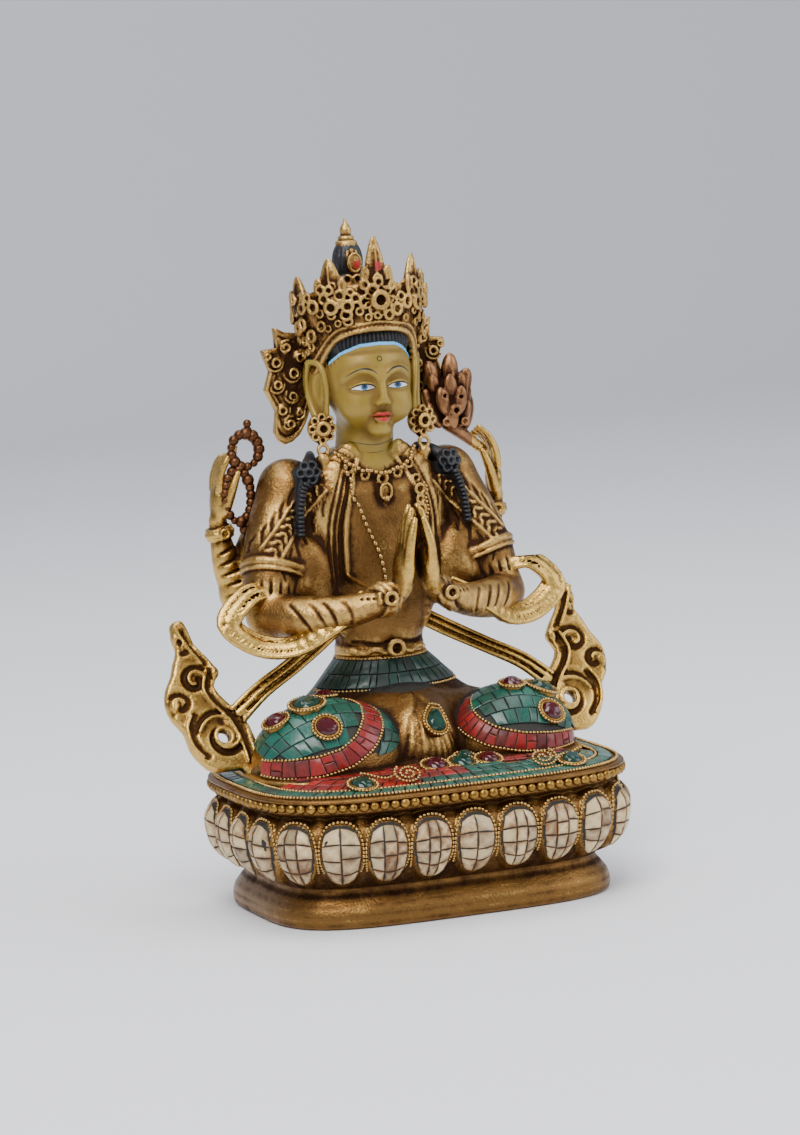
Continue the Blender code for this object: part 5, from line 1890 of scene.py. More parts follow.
class Crown:
    """The pierced crown with its leaves and wings, the ear flowers, the hair knot and the finial."""

    CENTRE_Y = 28.5

    def __init__(self, workshop: Workshop) -> None:
        self.workshop = workshop

    def _spot(self, turn: float, lift: float, out: float = 0.0) -> tuple[float, float, float]:
        """A place on the crown's outside, from a turn in degrees off the front and a share of its height."""
        a = math.radians(turn)
        front = 0.5 + 0.5 * math.cos(a)
        low = 128.5 + 11.5 * front**1.2 - 8 * math.exp(-(((abs(turn) - 84) / 24) ** 2))
        high = 147 + 8 * front + 1.6 * math.cos(math.radians(turn * 360 / 43)) * (abs(turn) < 110)
        rx, ry = (
            float(np.interp(lift, (0, 0.55, 1), row)) for row in ((16.6, 19.2, 21.4), (15.8, 16.4, 16.2))
        )
        return (rx + out) * math.sin(a), self.CENTRE_Y - (ry + out) * math.cos(a), low + (high - low) * lift

    def build(self) -> None:
        """Makes the crown and hands it over."""
        f = self.workshop.field((-36, 6, 92), (36, 48, 175.2), 0.36)
        for k in range(60):
            turn = -180 + 6 * k
            rows = [(*self._spot(turn, lift, -0.4), 1.0) for lift in (0.0, 0.35, 0.7, 1.0)]
            f.limb(rows, 1.2, steps=2)
        for lift, size, out in ((0.0, 1.0, 0.3), (0.13, 0.55, 0.7)):
            f.limb(
                [(*self._spot(turn, lift, out), size) for turn in range(-180, 180, 8)], 0.3, steps=2,
                closed=True
            )
        for k in range(72):
            turn = -180 + 5 * k
            f.limb(
                [(*self._spot(turn, 0.03, 0.9), 0.22), (*self._spot(turn + 2, 0.11, 1.0), 0.22)], 0.2,
                True, 1
            )
        chance = self.workshop.chance
        for row, (lift, count, size) in enumerate(
            ((0.25, 34, 1.4), (0.42, 28, 1.75), (0.6, 26, 1.85), (0.78, 26, 1.8), (0.95, 28, 1.5))
        ):
            for k in range(count):
                turn = 360 * (k + 0.5 * (row % 2) + chance.uniform(-0.15, 0.15)) / count - 180
                own = size * chance.uniform(0.75, 1.2)
                if chance.random() < 0.16:
                    continue
                f.boss(self._spot(turn, lift + chance.uniform(-0.03, 0.03), 0.8), (90, 0, turn), own)
        f.boss(self._spot(0, 0.55, 1.4), (90, 0, 0), 2.9)
        for k in range(9):
            a = math.tau * k / 9
            x, y, z = self._spot(0, 0.55, 1.3)
            f.boss((x + 4.1 * math.cos(a), y + 0.3, z + 4.1 * math.sin(a)), FACING, 1.05)
        for turn in (-44, 44, -88, 88):
            f.boss(self._spot(turn, 0.55, 1.2), (90, 0, turn), 2.3)
        self._leaves(f)
        for side in Side:
            self._wing(f, side)
            self._ear_flower(f, side)
        self._knot(f)
        obj = self.workshop.cast("figure_crown", f, (BRONZE, HAIR, LIPS), self._paint)
        self.workshop.hand_over(obj, "figure_brass", "figure")

    @staticmethod
    def _paint(spots: np.ndarray) -> np.ndarray:
        """Black hair knot and red on the leaves' inner faces."""
        x, y, z = spots.T
        knot = (np.abs(x) < 9.6) & (np.abs(y - 35) < 9.4) & (z > 139) & (z < 166)
        gilt = (z > 152.2) & (z < 156.2)
        gilt |= (y < 32.4) & (np.abs(x) < 3.6) & (z > 154)
        out = np.where(knot & ~gilt & ((y > 25.4) | (z > 157.5)), 1, 0)
        out[gilt & (np.abs(x - 0.6) < 1.0) & (np.abs(z - 160.0) < 1.4) & (y < 30.5)] = 2
        far = np.hypot(x, (y - 28.5) * 1.25)
        red = (z > 147) & (z < 162) & (far < 17.0) & (far > 12) & (y < 33) & (out == 0)
        return np.where(red, 2, out)

    def _leaves(self, f: Field) -> None:
        for turn, tip in ((0, 169.3), (-42, 163), (42, 163), (-86, 157.5), (86, 157.5)):
            a = math.radians(turn)
            x, y = 20.4 * math.sin(a), 28.5 - 15.4 * math.cos(a)
            out = (math.sin(a), -math.cos(a), 0.0)
            edge = (math.cos(a), math.sin(a))
            foot = self._spot(turn, 1.0)[2] - 4.5
            rise = tip - foot
            f.limb(
                [
                    (x, y, foot, 4.4), (x * 1.02, y, foot + rise * 0.4, 3.6),
                    (x * 1.04, y, foot + rise * 0.75, 2.2), (x * 1.05, y, tip - 0.8, 1.0)
                ],
                0.8, thin=out, squash=2.2
            )
            f.limb(
                [
                    (x + out[0] * 2.0, y + out[1] * 2.0, foot + 2, 0.4),
                    (x * 1.04 + out[0] * 1.3, y + out[1] * 1.3, foot + rise * 0.8, 0.3)
                ],
                0.8, False, 1
            )
            for k in (-1, 1):
                curl = [
                    (
                        x + out[0] * 1.2 + k * w * edge[0], y + out[1] * 1.2 + k * w * edge[1],
                        foot + rise * h, 0.75
                    )
                    for h, w in ((0.05, 4.6), (0.25, 4.9), (0.42, 4.2), (0.36, 3.2), (0.22, 3.4))
                ]
                f.limb(curl, 0.3)
            f.boss((x + out[0] * 2.0, y + out[1] * 2.0, foot + rise * 0.16), (90, 0, turn), 1.5)

    @staticmethod
    def _wing(f: Field, side: Side) -> None:
        outline = (
            (13, 124), (16, 137), (24, 139.5), (27.5, 141), (27, 134.5), (32, 134), (29.5, 127),
            (31.5, 121), (28, 114), (29, 107), (25.5, 103), (20, 106), (16, 114)
        )
        curve = smooth_path(outline, 2, True)
        f.plate(curve, (0, 36, 0), 0.0, 3.2, 0.9, 0.6, side)
        centre = np.array([22.0, 122.0])
        for share in (0.86, 0.7):
            inner = centre + (curve - centre) * share
            f.limb([(x * side.value, 34.4, z, 0.42) for x, z in inner], 0.3, True, 1, True)
        curls = (
            (19, 131, 1.5), (23.5, 134.5, 1.3), (27.4, 129.8, 1.6), (21.5, 126, 1.7), (27.2, 122.6, 1.5),
            (22.2, 118.6, 1.4), (26.0, 114.2, 1.5), (23.4, 109.6, 1.4), (20.2, 113.0, 1.1),
            (30.0, 132.0, 1.0)
        )
        for x, z, size in curls:
            f.boss((x * side.value, 34.4, z), FACING, size)
            spiral = [
                (
                    x + size * (1.3 + 0.17 * t) * math.cos(t + x),
                    z + size * (1.3 + 0.17 * t) * math.sin(t + x)
                )
                for t in np.linspace(0, 3.6, 8)
            ]
            f.limb([(u * side.value, 34.2, w, 0.42) for u, w in spiral], 0.2, False, 1)
            f.limb([(u * side.value * 1.01, 33.9, w + 0.9, 0.3) for u, w in spiral], 0.2, True, 1)

    @staticmethod
    def _ear_flower(f: Field, side: Side) -> None:
        s = side.value
        x, y, z = 17.4 * s, 22.4, 108.5
        f.ball((x, y + 1.0, z), (4.6, 2.2, 4.9), blend=0.5)
        f.boss((x, y - 1.2, z), (90, 0, 12 * s), 2.2)
        for k in range(8):
            a = math.tau * k / 8
            f.boss((x + 3.5 * math.cos(a), y - 0.4, z + 3.7 * math.sin(a)), (90, 0, 12 * s), 1.25)
        f.ring((17.6 * s, 21.6, 101.6), (1.7, 1.7), 0.6, FACING)
        f.ball((17.6 * s, 21.6, 98.4), (2.1, 1.9, 2.4), blend=0.3)
        f.limb([(17.6 * s, 21.6, 96.5, 1.4), (17.6 * s, 21.8, 92.6, 0.4)], 0.3)
        f.limb([(15.6 * s, 26, 106, 1.2), (17.4 * s, 23.5, 103.6, 1.1)], 0.5, steps=1)

    @staticmethod
    def _knot(f: Field) -> None:
        f.ball((0, 34.5, 148.5), (9.3, 8.3, 8.4), blend=0.4)
        f.ball((0, 36.5, 161), (5.1, 5.0, 7.2), blend=0.4)
        for k in range(18):
            a = math.tau * k / 18
            c, s = math.cos(a), math.sin(a)
            f.limb(
                [
                    (9.2 * c * g, 34.5 + 8.2 * s * g, 148.5 + dz, 0.28)
                    for dz, g in ((-4, 0.88), (0, 1.0), (4, 0.88))
                ],
                0.3, True, 2
            )
            f.limb(
                [
                    (5.1 * c * g, 36.5 + 5.0 * s * g, 161 + dz, 0.22)
                    for dz, g in ((-4, 0.83), (0, 1.0), (4, 0.83))
                ],
                0.3, True, 2
            )
        f.ring((0, 35.6, 154.6), (6.0, 5.8), 1.1, count=16)
        f.ring((0, 35.6, 156.2), (5.4, 5.2), 0.6, count=16)
        for turn in range(-75, 76, 25):
            a = math.radians(turn)
            f.boss((6.6 * math.sin(a), 35.6 - 6.2 * math.cos(a), 155.2), (90, 0, turn), 1.5)
        f.ball((0, 30.8, 160.4), (2.2, 1.2, 3.0), blend=0.3)
        f.ring((0, 30.2, 160.4), (2.2, 3.0), 0.45, FACING)
        f.ring((0, 37, 166.8), (2.8, 2.8), 0.8)
        f.ring((0, 37, 168.4), (2.0, 2.0), 0.7)
        f.ball((0, 37, 167.5), (2.4, 2.4, 2.2), blend=0.3)
        f.ball((0, 37, 170.6), (1.9, 1.9, 2.4), blend=0.3)
        f.limb([(0, 37, 172, 1.1), (0, 37, 174.4, 0.45)], 0.4, steps=1)


class Scarf:
    """One side's flying scarf: the loop over the forearm, the band to the floor and the flame-shaped end."""

    FLAME = (
        (50, 0.5), (54.5, 0.5), (56.5, 4), (65, 4), (69, 7), (72, 12), (73, 18), (76, 22.5), (77.2, 28),
        (76, 33), (73.5, 37),
        (72, 41), (70, 45.5), (70.8, 50), (69, 54.3), (66.5, 55.2), (65, 52), (63.5, 46.5), (60, 41.5),
        (58, 37), (60, 32),
        (57.5, 27.5), (54, 23), (51, 18), (49.5, 9),
    )
    BAND_LINES = (
        (0.9, 0.85, False), (-0.9, 0.85, False), (0.42, 0.7, True), (-0.42, 0.7, True), (0.0, 0.45, False)
    )
    LEAN = math.radians(26)

    def __init__(self, workshop: Workshop, side: Side) -> None:
        self.workshop = workshop
        self.side = side

    def build(self) -> None:
        """Makes the scarf and hands it over."""
        s = self.side.value
        low, high = sorted((8 * s, 78 * s))
        f = self.workshop.field((low, -8, -0.5), (high, 42, 62), 0.42)
        drop = 3 if self.side is Side.RIGHT else 0
        loop = [
            (
                15, -2.5, 57 - drop / 2, 2.6
            ), (26, -1, 51 - drop, 3.2), (37, 4, 44.5 - drop, 3.5), (48, 8.5, 45.2 - drop, 3.8), (
                56.6, 11.5, 52.5 - drop, 3.7
            ),
            (50, 13, 60.2 - drop, 3.4), (43, 15, 60 - drop / 2, 3.0), (38, 18, 55, 2.8),
        ]
        self._ribbon(f, loop, (0.1 * s, -0.75, 0.65), 1.75)
        band = [
            (12, 27, 46, 2.6), (22, 22, 40, 2.6), (34, 17, 33.5, 2.4), (46, 14.5, 27, 2.6),
            (57, 14, 18, 3.2)
        ]
        self._ribbon(f, band, (0.0, -0.85, 0.5), 1.7)
        f.plate(smooth_path(self.FLAME, 2, True), (0, 6, 0), self.LEAN, 4.0, 1.3, 0.8, self.side)
        self._scrolls(f)
        cut = lambda x, y, z: z + 0 * x + 0 * y
        f.merge(cut, (low, -8, -3), (high, 42, -0.02), carve=True)
        obj = self.workshop.cast(f"figure_scarf_{self.side.name.lower()}", f, (GOLD,))
        self.workshop.hand_over(obj, "figure_brass", "figure")

    def _ribbon(self, f: Field, rows: Path, thin: tuple[float, float, float], squash: float) -> None:
        """A flat band with raised edges and a groove along each."""
        rows = mirrored(rows, self.side)
        f.limb(rows, 1.0, thin=thin, squash=squash)
        path = smooth_path(rows, 6)
        axis = np.array(thin) / np.linalg.norm(thin)
        across = np.cross(np.gradient(path[:, :3], axis=0), axis)
        across /= np.linalg.norm(across, axis=1, keepdims=True) + 1e-9
        half = path[:, 3:4]
        top = axis * (half / squash)
        for share, radius, carve in self.BAND_LINES:
            lift = 0.35 if share else 0.8
            line = path[:, :3] + across * half * share + top * lift * (1.0 if not carve else 1.25)
            f.limb(np.c_[line, np.full(len(line), radius)], 0.4, carve, 1)

    def _on_plate(self, x: float, h: float, off: float = -2.0) -> tuple[float, float, float]:
        """A point on the flame's front face."""
        cos, sin = math.cos(self.LEAN), math.sin(self.LEAN)
        return x * self.side.value, 6 + h * sin + off * cos, h * cos - off * sin

    def _scrolls(self, f: Field) -> None:
        """Spiral grooves and ridges of the flame's curls, its eye and its knobs."""
        eye = (60.5, 15.0)
        for (cx, cz), reach, turns, start, way in (
            (eye, 9.6, 7.2, 0.3, 1), (
                (66.3, 34.5), 5.6, 7.0, 3.6, -1
            ), ((72.6, 27.0), 4.6, 6.0, 5.6, 1), (
                (67.6, 45.5), 3.4, 5.0, 2.6, -1
            ),
        ):
            for lift, radius, carve in ((0.0, 1.0, True), (0.3, 0.6, False)):
                path = []
                for t in np.linspace(0, turns, 26):
                    r = reach * (1 - 0.74 * t / turns) - (1.5 if not carve else 0.0)
                    a = start + way * t
                    path.append(
                        (*self._on_plate(cx + r * math.cos(a), cz + r * math.sin(a), -2.0 - lift), radius)
                    )
                    if r < 1.2:
                        break
                f.limb(path, 0.9 if carve else 0.4, carve, 1)
        f.limb([(*self._on_plate(*eye, -4), 2.1), (*self._on_plate(*eye, 4), 2.1)], 0.5, True, 1)
        f.limb(
            [
                (*self._on_plate(eye[0] + 2.9 * math.cos(t), eye[1] + 2.9 * math.sin(t), -2.0), 0.75)
                for t in np.linspace(0, math.tau, 14, endpoint=False)
            ],
            0.3, False, 1, True
        )
        veins = (
            ((52.5, 6), (53.5, 13), (56.5, 21), (61, 27), (62.5, 32), (60.5, 37.5)),
            ((61.5, 40), (64.5, 45), (66.4, 49), (68, 53)),
            ((67, 9), (69.8, 13), (70.5, 19), (68.5, 23)),
        )
        for vein in veins:
            f.limb([(*self._on_plate(x, h), 1.0) for x, h in vein], 0.9, True)
            f.limb([(*self._on_plate(x + 1.6, h, -2.1), 0.6) for x, h in vein], 0.4)
            f.limb([(*self._on_plate(x, h, 2.0), 0.65) for x, h in vein], 0.4, True)
        f.ball(self._on_plate(68.3, 52.8, 0), (2.3, 2.3, 2.4), blend=0.8)
        f.ball(self._on_plate(74.6, 27.0, -0.6), (1.9, 2.2, 2.4), blend=0.8)
        f.ball(self._on_plate(59.2, 36.8, -0.6), (1.7, 2.2, 2.0), blend=0.8)


class Inlay:
    """Turquoise, coral and dark green tiles, the set stones and the wires between them."""

    def __init__(self, workshop: Workshop, beads: BeadMaker, outline: SeatOutline) -> None:
        self.workshop = workshop
        self.beads = beads
        self.outline = outline
        self.wires: list[np.ndarray] = []

    def build(self, body: Drape) -> None:
        """Makes all inlay and hands it over.

        Args:
            body: the surface that the stones stand on.
        """
        self._knees()
        self._waist()
        self._field()
        self._stones(body)
        self._curls()
        raised = self.beads.thread("figure_wires", self.wires, 1.25, 0.6)
        self.workshop.hand_over(raised, "figure_brass", "figure")

    def _shade(self, mean: float = 0.5, spread: float = 0.17) -> float:
        return float(np.clip(self.workshop.chance.normal(mean, spread), 0.08, 0.95))

    @staticmethod
    def _free(spot: np.ndarray, margin: float = 0.7) -> bool:
        """Whether no stone covers a place given in figure coordinates."""
        return all(
            math.hypot(spot[0] - stone.x, spot[1] - stone.y) > stone.radius + margin for stone in STONES
        )

    def _knees(self) -> None:
        chance = self.workshop.chance
        green, coral = Mosaic(self.workshop, 0.75, 0.22), Mosaic(self.workshop, 0.7, 0.24)
        for side, lobe in LOBES.items():
            line = np.array([lobe.belt(t, 0)[0] for t in np.linspace(0, 1, 60)])
            width = np.array(
                [
                    np.linalg.norm(lobe.belt(t, 1)[0] - lobe.belt(t, -1)[0]) / 2
                    for t in np.linspace(0, 1, 60)
                ]
            )
            rows = np.linspace(-1, 1, 9)
            for a, b in zip(rows, rows[1:]):
                offset = chance.uniform(-0.06, 0.06)
                columns = np.linspace(-1, 1, 12)
                columns[1:-1] += offset + chance.normal(0, 0.018, 10)
                for c, d in zip(columns, columns[1:]):
                    middle = lobe.oval((c + d) / 2, (a + b) / 2)[0]
                    apart = np.linalg.norm(line - middle, axis=1)
                    k = int(apart.argmin())
                    if apart[k] < width[k] + 0.95 or not self._free(middle, -1.4) or middle[2] < 3.0:
                        continue
                    # tiles tinted by height: darker low on the knee for grime and painted shade, lighter
                    # high up for a painted highlight
                    green.tile(
                        lobe.oval, ((c, a), (d, a), (d, b), (c, b)),
                        self._shade(0.2 + 0.018 * float(middle[2]))
                    )
            steps = np.linspace(0, 1, 20)
            for k, (a, b) in enumerate(zip(steps, steps[1:])):
                cuts = (-1, chance.uniform(-0.25, 0.25), 1) if k % 4 == 1 else (-1, 1)
                for c, d in zip(cuts, cuts[1:]):
                    if self._free(lobe.belt((a + b) / 2, (c + d) / 2)[0], -1.4):
                        coral.tile(lobe.belt, ((a, c), (b, c), (b, d), (a, d)), self._shade(0.5, 0.2))
            for edge in (-1.13, 1.13):
                path = []
                for t in np.linspace(0, 1, 60):
                    spot, normal = lobe.belt(t, edge)
                    path.append(spot + normal * 0.35 + (0, 0, FIGURE_FLOOR))
                self.wires.append(np.array(path))
            name = side.name.lower()
            self.workshop.hand_over(
                coral.build(f"coral_hem_{name}_tiles", CORAL, FIGURE_FLOOR), "coral", f"coral_hem_{name}"
            )
            self.workshop.hand_over(
                green.build(f"turquoise_knee_{name}_tiles", TURQUOISE, FIGURE_FLOOR), "turquoise",
                f"turquoise_knee_{name}"
            )

    def _waist(self) -> None:
        sections = np.array(HIPS)

        def surface(turn: float, z: float) -> tuple[np.ndarray, np.ndarray]:
            a, b, c = (np.interp(z, sections[:, 0], sections[:, k]) for k in (1, 2, 3))
            t = math.radians(turn - 90)
            normal = np.array([math.cos(t) / a, math.sin(t) / b, 0.03])
            return np.array(
                [(a + 0.15) * math.cos(t), c + (b + 0.15) * math.sin(t), z]
            ), normal / np.linalg.norm(normal)

        tiles = Mosaic(self.workshop, 0.7, 0.3)
        for low, high in ((24.4, 28.6), (28.6, 32.8)):
            edges = np.linspace(-84, 84, 19)
            edges[1:-1] += self.workshop.chance.normal(0, 1.0, 17)
            for a, b in zip(edges, edges[1:]):
                tiles.tile(surface, ((a, low), (b, low), (b, high), (a, high)), self._shade())
        obj = tiles.build("waistband_tiles", DARK_TURQUOISE, FIGURE_FLOOR)
        self.workshop.hand_over(obj, "turquoise", "turquoise_waistband")
        for z in (23.9, 33.4):
            self.wires.append(
                np.array([surface(t, z)[0] + (0, 0, FIGURE_FLOOR) for t in np.linspace(-86, 86, 50)])
            )

    def _field(self) -> None:
        """Tiles on the flat top of the seat: a ring along the rim, a wire, and coral inside it."""
        chance = self.workshop.chance
        base = SeatOutline(count=720)

        def band(outer: float, inner: float, low: float, high: float) -> Surface:
            rim, core = base.points(outer), base.points(inner)

            def surface(along: float, across: float) -> tuple[np.ndarray, np.ndarray]:
                k = along % 720
                i, t = int(k), k - int(k)
                a = rim[i] * (1 - t) + rim[(i + 1) % 720] * t
                b = core[i] * (1 - t) + core[(i + 1) % 720] * t
                return np.array(
                    [*(a + (b - a) * across), low + (high - low) * across]
                ), np.array([0, 0, 1.0])

            return surface

        green, coral = Mosaic(self.workshop, 0.75, 0.34), Mosaic(self.workshop, 0.75, 0.34)
        rim_band = band(-2.1, -6.3, SEAT_TOP + 0.3, SEAT_TOP + 0.9)
        steps = np.linspace(0, 720, 86)
        steps[1:-1] += chance.normal(0, 0.5, 84)
        for a, b in zip(steps, steps[1:]):
            green.tile(rim_band, ((a, 0), (b, 0), (b, 1), (a, 1)), self._shade())
        inner = np.c_[base.points(-6.9), np.full(720, SEAT_TOP + 1.4)]
        self.workshop.hand_over(
            self.beads.thread("field_wire", [inner], 1.25, 0.6, closed=True), "wire", "rim_wire"
        )
        for outer, core, low, high, count in (
            (-7.3, -11.4, 0.9, 1.8, 74), (-11.4, -15.4, 1.8, 2.6, 66), (-15.4, -19.4, 2.6, 2.8, 60)
        ):
            surface = band(outer, core, SEAT_TOP + low, SEAT_TOP + high)
            steps = np.linspace(0, 720, count)
            steps[1:-1] += chance.normal(0, 0.7, count - 2)
            for a, b in zip(steps, steps[1:]):
                spot = surface((a + b) / 2, 0.5)[0]
                inside = (abs(spot[0]) / 57.5) ** 3.2 + (abs(spot[1] - 6) / 35.5) ** 3.2 < 1
                if spot[1] > 20 or inside or not self._free(spot, 0.3):
                    continue
                red = spot[0] < -14 or (low > 1.0 and spot[0] < 5) or (low > 2.0 and spot[0] > 18)
                (coral if red else green).tile(
                    surface, ((a, 0), (b, 0), (b, 1), (a, 1)), self._shade(0.5, 0.2)
                )
        skirt = Mosaic(self.workshop, 0.7, 0.34)

        def slab(x: float, y: float) -> tuple[np.ndarray, np.ndarray]:
            return np.array([x, y, FIGURE_FLOOR + 2.3]), np.array([0, 0, 1.0])

        xs = np.arange(-52, 52.1, 4.2)
        for row, (y0, y1) in enumerate(((-27.0, -23.2), (-23.2, -19.4), (-19.4, -15.6))):
            for x0, x1 in zip(xs, xs[1:]):
                a, b = x0 + 1.6 * (row % 2) + chance.normal(0, 0.12), x1 + 1.6 * (row % 2)
                spot = np.array([(a + b) / 2, (y0 + y1) / 2, 0.0])
                inside = (abs(spot[0]) / 53.0) ** 3.2 + (abs(spot[1] - 6) / 32.5) ** 3.2 < 1
                clear = all(
                    ((spot[0] - lobe.centre[0]) / (lobe.radii[0] + 0.5)) ** 2 + (
                        (spot[1] - lobe.centre[1]) / (lobe.radii[1] + 0.5)
                    ) ** 2 > 1
                    for lobe in LOBES.values()
                )
                if inside and clear and self._free(spot, 0.2) and math.hypot(
                    spot[0] / 15.5, (spot[1] - 2) / 17.5
                ) > 1:
                    skirt.tile(slab, ((a, y0), (b, y0), (b, y1), (a, y1)), self._shade(0.5, 0.2))
        self.workshop.hand_over(green.build("field_turquoise", TURQUOISE), "turquoise", "turquoise_field")
        self.workshop.hand_over(coral.build("field_coral", CORAL), "coral", "turquoise_field")
        self.workshop.hand_over(skirt.build("skirt_coral", CORAL), "coral", "turquoise_field")

    def _stones(self, body: Drape) -> None:
        """Cut stones in collars with beads round them."""
        rings = []
        for stone in STONES:
            found = body.down(stone.x, stone.y)
            spot, normal = found if found else (
                np.array([stone.x, stone.y, SEAT_TOP + 0.3]), np.array([0, 0, 1.0])
            )
            front = -0.45 if stone.y < -10 else -0.1
            normal = normal + np.array([0, front, 0.5])
            normal /= np.linalg.norm(normal)
            spot = spot + normal * (1.0 if stone.y > -30 else 2.2)
            side = np.cross((0, 1, 0), normal)
            side /= np.linalg.norm(side)
            back = np.cross(normal, side)
            count = 14

            def ring(scale: float, lift: float, turn: float = 0.0) -> np.ndarray:
                t = (np.arange(count) + turn) / count * math.tau
                stretch = np.where(stone.drop & (np.sin(t) > 0), 1 + 0.75 * np.sin(t) ** 6, 1.0)
                r = stone.radius * scale * stretch
                return spot + np.outer(r * np.cos(t), side) + np.outer(r * np.sin(t), back) + normal * lift

            top = 2.3
            levels = [ring(0.98, -0.6), ring(0.98, 1.0), ring(0.8, 1.7, 0.5), ring(0.55, top)]
            points = np.vstack([*levels, (spot + normal * (top + 0.02))[None]])
            faces = []
            for k in range(len(levels) - 1):
                for i in range(count):
                    j = (i + 1) % count
                    a, b, c, d = k * count + i, k * count + j, (k + 1) * count + j, (k + 1) * count + i
                    faces += [(a, b, c, d)] if k == 0 else [(a, b, d), (b, c, d)]
            last = (len(levels) - 1) * count
            faces += [(last + i, last + (i + 1) % count, last + count) for i in range(count)]
            gem = new_mesh(stone.node + "_cut", points, faces)
            gem.data.shade_flat()
            gem.data.materials.append(self.workshop.palette.get(stone.finish))
            set_relief(gem, np.full(len(points), 0.3))
            self.workshop.tint(gem, np.full(len(points), 0.55))
            self.workshop.hand_over(gem, "garnet" if stone.finish is GARNET else "emerald", stone.node)
            collar = [
                ring(1.22, -2.6), ring(1.22, 0.55), ring(1.16, 0.95), ring(1.03, 1.0), ring(0.99, 0.2)
            ]
            faces = [
                (
                    k * count + i, k * count + (i + 1) % count, (k + 1) * count + (i + 1) % count,
                    (k + 1) * count + i
                )
                for k in range(len(collar) - 1)
                for i in range(count)
            ]
            setting = new_mesh(stone.node + "_setting", np.vstack(collar), faces)
            setting.data.materials.append(self.workshop.palette.get(GOLD))
            # the collar's foot and inner lip darkened as grime and painted shade, its rim lightened as wear
            # and a painted highlight
            set_relief(setting, np.repeat((-0.5, 0.2, 0.5, 0.1, -0.6), count))
            self.workshop.tint(setting, np.full(5 * count, 0.5))
            self.workshop.hand_over(setting, "figure_brass", "figure")
            rings.append(ring(1.36, 0.45))
        obj = self.beads.thread("setting_beads", rings, 1.15, 0.58, closed=True)
        self.workshop.hand_over(obj, "figure_brass", "figure")

    def _curls(self) -> None:
        """The two curly wires laid in front of the knees."""
        for name, x, y, side in (("right", -17.0, -36.2, -1), ("left", 29.0, -36.2, 1)):
            path = []
            for t in np.linspace(0, 4.3 * math.pi, 80):
                r = 0.7 + 0.3 * t
                rise = 0.62 * r * math.sin(t)
                path.append((x + side * r * math.cos(t), y + rise, SEAT_TOP + 4.6 + 0.85 * rise))
            tail = [
                (
                    path[-1][0] + side * k * 1.3, path[-1][1] - 1.1 * math.sin(k * 0.5),
                    SEAT_TOP + 4.6 - 1.0 * math.sin(k * 0.5)
                )
                for k in range(1, 10)
            ]
            obj = self.beads.thread(f"curl_{name}_beads", [np.array(path + tail)], 1.1, 0.55)
            self.workshop.hand_over(obj, "wire", f"curl_wire_{name}")


class Strings:
    """Beads on the figure: necklace, chest string, shawl edge, rosary and the beaded locks."""

    def __init__(self, workshop: Workshop, beads: BeadMaker) -> None:
        self.workshop = workshop
        self.beads = beads

    def build(self, body: Drape) -> None:
        """Threads the strings and hands them over.

        Args:
            body: the surface they lie on.
        """
        up = np.array((0, 0, FIGURE_FLOOR))

        def laid(rows: Path, lift: float) -> np.ndarray:
            return body.path([np.array(p) + up for p in rows], lift)

        collar = laid(
            [
                (-14, 21, 101), (-10, 15, 97), (-5, 13, 95), (0, 12.4, 94.4), (5, 13, 95), (10, 15, 97),
                (14, 21, 101)
            ],
            0.5
        )
        chest = laid(
            [
                (-13.0, 15, 96), (-10.5, 12, 86), (-7.0, 12, 76), (-3.5, 13, 68), (-1.8, 13, 60),
                (-1.0, 13, 48)
            ],
            0.45
        )
        hem_left = laid([(15.2, 12, 92), (15.8, 12, 80), (17.0, 12, 68), (17.0, 12.5, 56)], 0.3)
        for name, line, spacing, radius, length in (
            ("necklace_beads", collar, 1.6, 0.85, None),
            ("chest_beads", chest, 2.3, 0.72, 1.1),
            ("shawl_beads", hem_left, 1.3, 0.55, None),
        ):
            string = self.beads.thread(name, [line], spacing, radius, length)
            self.workshop.hand_over(string, "figure_brass", "figure")
        rosary = []
        for x, y, z, rx, rz in ((-39.8, 34, 102.5, 4.8, 5.4), (-43, 34, 88, 4.4, 8.6)):
            t = np.linspace(0, math.tau, 40, endpoint=False)
            rosary.append(np.c_[x + rx * np.cos(t), np.full(40, y), z + rz * np.sin(t)] + up)
        ropes = self.beads.thread(
            "rosary_beads", rosary, 2.5, 1.75, closed=True, finish=COPPER, uneven=0.26
        )
        tail = smooth_path([(-42.6, 34, 79.6), (-40, 35, 74), (-37.5, 36.5, 69)], 6) + up
        end = self.beads.thread(
            "rosary_tail", [tail, np.array([(-38.6, 34, 108.6), (-38.6, 34, 111.0)]) + up], 2.6, 1.6,
            finish=COPPER, uneven=0.14
        )
        for obj in (ropes, end):
            self.workshop.hand_over(obj, "figure_brass", "figure")
        for side in Side:
            lock = smooth_path(mirrored(LOCK, side), 8)[22:, :3]
            path = np.array([body.near(p + up + (0, -3, 0), -0.4) for p in lock])
            braid = self.beads.thread(
                f"lock_{side.name.lower()}", [path], 1.3, 1.5, 0.8, finish=HAIR, uneven=0.05
            )
            self.workshop.hand_over(braid, "figure_brass", "figure")


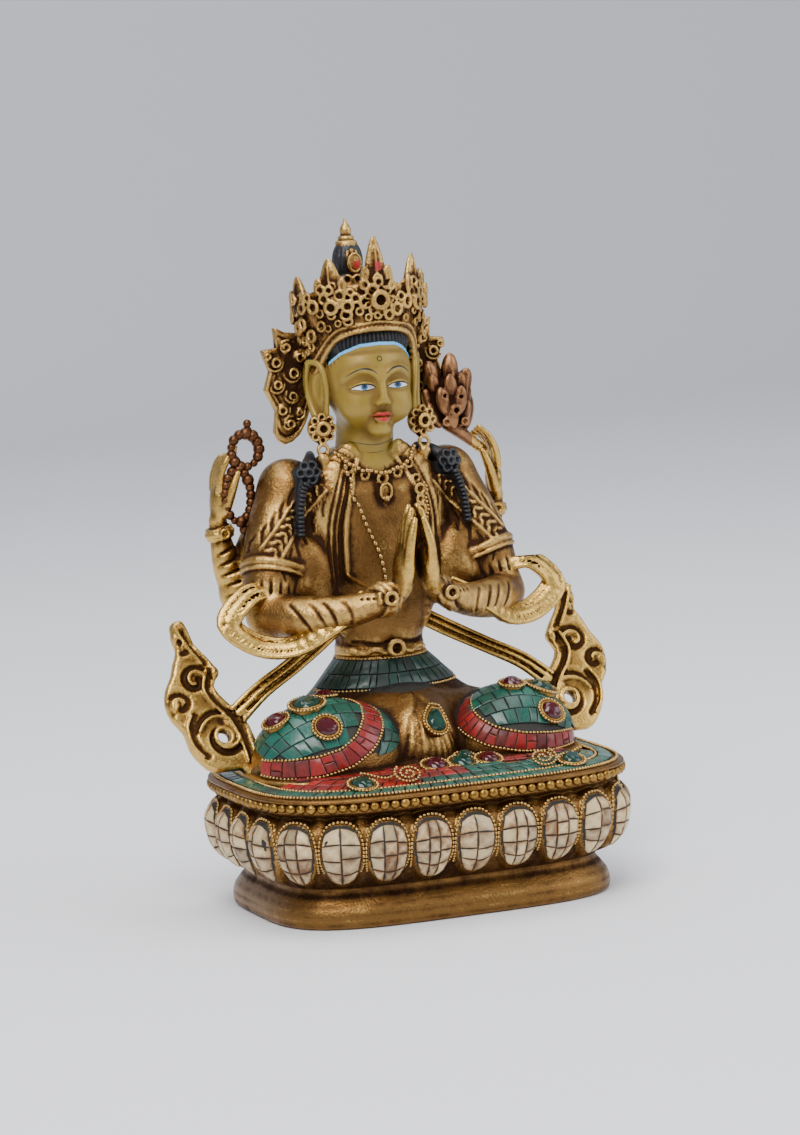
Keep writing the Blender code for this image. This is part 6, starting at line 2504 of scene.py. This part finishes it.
class Studio:
    """Plain floor and backdrop, soft lights, and the camera at the photograph's angle."""

    LOOK_AT = Vector((0.0, 0.0, 0.107))
    PLACE = Vector((-0.4834, -1.1964, 0.2654))

    def __init__(self, palette: Palette) -> None:
        self.palette = palette

    def build(self) -> None:
        """Sets the scene round the object."""
        self._backdrop()
        self._light("key", (-0.55, -0.75, 1.15), 0.8, 20.0, (1.0, 0.97, 0.93))
        self._light("fill", (0.95, -0.55, 0.6), 0.9, 7.5, (0.93, 0.96, 1.0))
        self._light("top", (0.1, 0.25, 1.3), 1.0, 11.0, (1.0, 1.0, 1.0))
        world = bpy.data.worlds.new("studio")
        world.use_nodes = True
        world.node_tree.nodes["Background"].inputs["Color"].default_value = (0.80, 0.83, 0.90, 1)
        world.node_tree.nodes["Background"].inputs["Strength"].default_value = 0.64
        bpy.context.scene.world = world
        data = bpy.data.cameras.new("photo_camera")
        data.sensor_fit = "AUTO"
        data.sensor_width = 36.0
        data.lens = 129.1
        data.shift_x, data.shift_y = -0.0044, -0.0022
        data.clip_start = 0.05
        camera = bpy.data.objects.new("photo_camera", data)
        camera.location = self.PLACE
        aim = (self.LOOK_AT - self.PLACE).to_track_quat("-Z", "Y").to_matrix().to_4x4()
        roll = Matrix.Rotation(math.radians(-2.9), 4, "Z")
        camera.rotation_euler = (aim @ roll).to_euler()
        bpy.context.scene.collection.objects.link(camera)
        bpy.context.scene.camera = camera

    def _backdrop(self) -> None:
        wide, rows = 3.2, [(-2.6, 0.0), (1.7, 0.0)]
        rows += [
            (1.7 + 0.6 * math.sin(a), 0.6 - 0.6 * math.cos(a)) for a in np.linspace(0.1, math.pi / 2, 12)
        ]
        rows.append((2.3, 3.0))
        points = [(x, y, z) for y, z in rows for x in (-wide, wide)]
        faces = [(2 * i, 2 * i + 1, 2 * i + 3, 2 * i + 2) for i in range(len(rows) - 1)]
        mesh = bpy.data.meshes.new("backdrop")
        mesh.from_pydata(points, [], faces)
        mesh.shade_smooth()
        floor = bpy.data.objects.new("backdrop", mesh)
        bpy.context.scene.collection.objects.link(floor)
        material = bpy.data.materials.new("backdrop")
        material.use_nodes = True
        shader = material.node_tree.nodes["Principled BSDF"]
        shader.inputs["Base Color"].default_value = (*STUDIO.base, 1)
        shader.inputs["Roughness"].default_value = STUDIO.roughness
        mesh.materials.append(material)

    def _light(
        self, name: str, place: tuple[float, float, float], size: float, power: float,
        colour: tuple[float, float, float]
    ) -> None:
        data = bpy.data.lights.new(name, "AREA")
        data.shape = "SQUARE"
        data.size = size
        data.energy = power
        data.color = colour
        lamp = bpy.data.objects.new(name, data)
        lamp.location = place
        lamp.rotation_euler = (self.LOOK_AT - Vector(place)).to_track_quat("-Z", "Y").to_euler()
        bpy.context.scene.collection.objects.link(lamp)


def main() -> None:
    """Builds every piece, the studio and the camera."""
    for start in list(bpy.data.objects):
        bpy.data.objects.remove(start)
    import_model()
    quality = Quality.FINAL
    palette = Palette()
    workshop = Workshop(palette, quality)
    beads = BeadMaker(workshop)
    seat = LotusSeat(workshop, beads)
    seat.build()
    legs, body = Body(workshop).build()
    surface = Drape(body)
    Inlay(workshop, beads, seat.outline).build(Drape(legs))
    RearArms(workshop).build()
    Head(workshop).build()
    Crown(workshop).build()
    for side in Side:
        Scarf(workshop, side).build()
    Strings(workshop, beads).build(surface)
    Studio(palette).build()


if __name__ == "__main__":
    main()
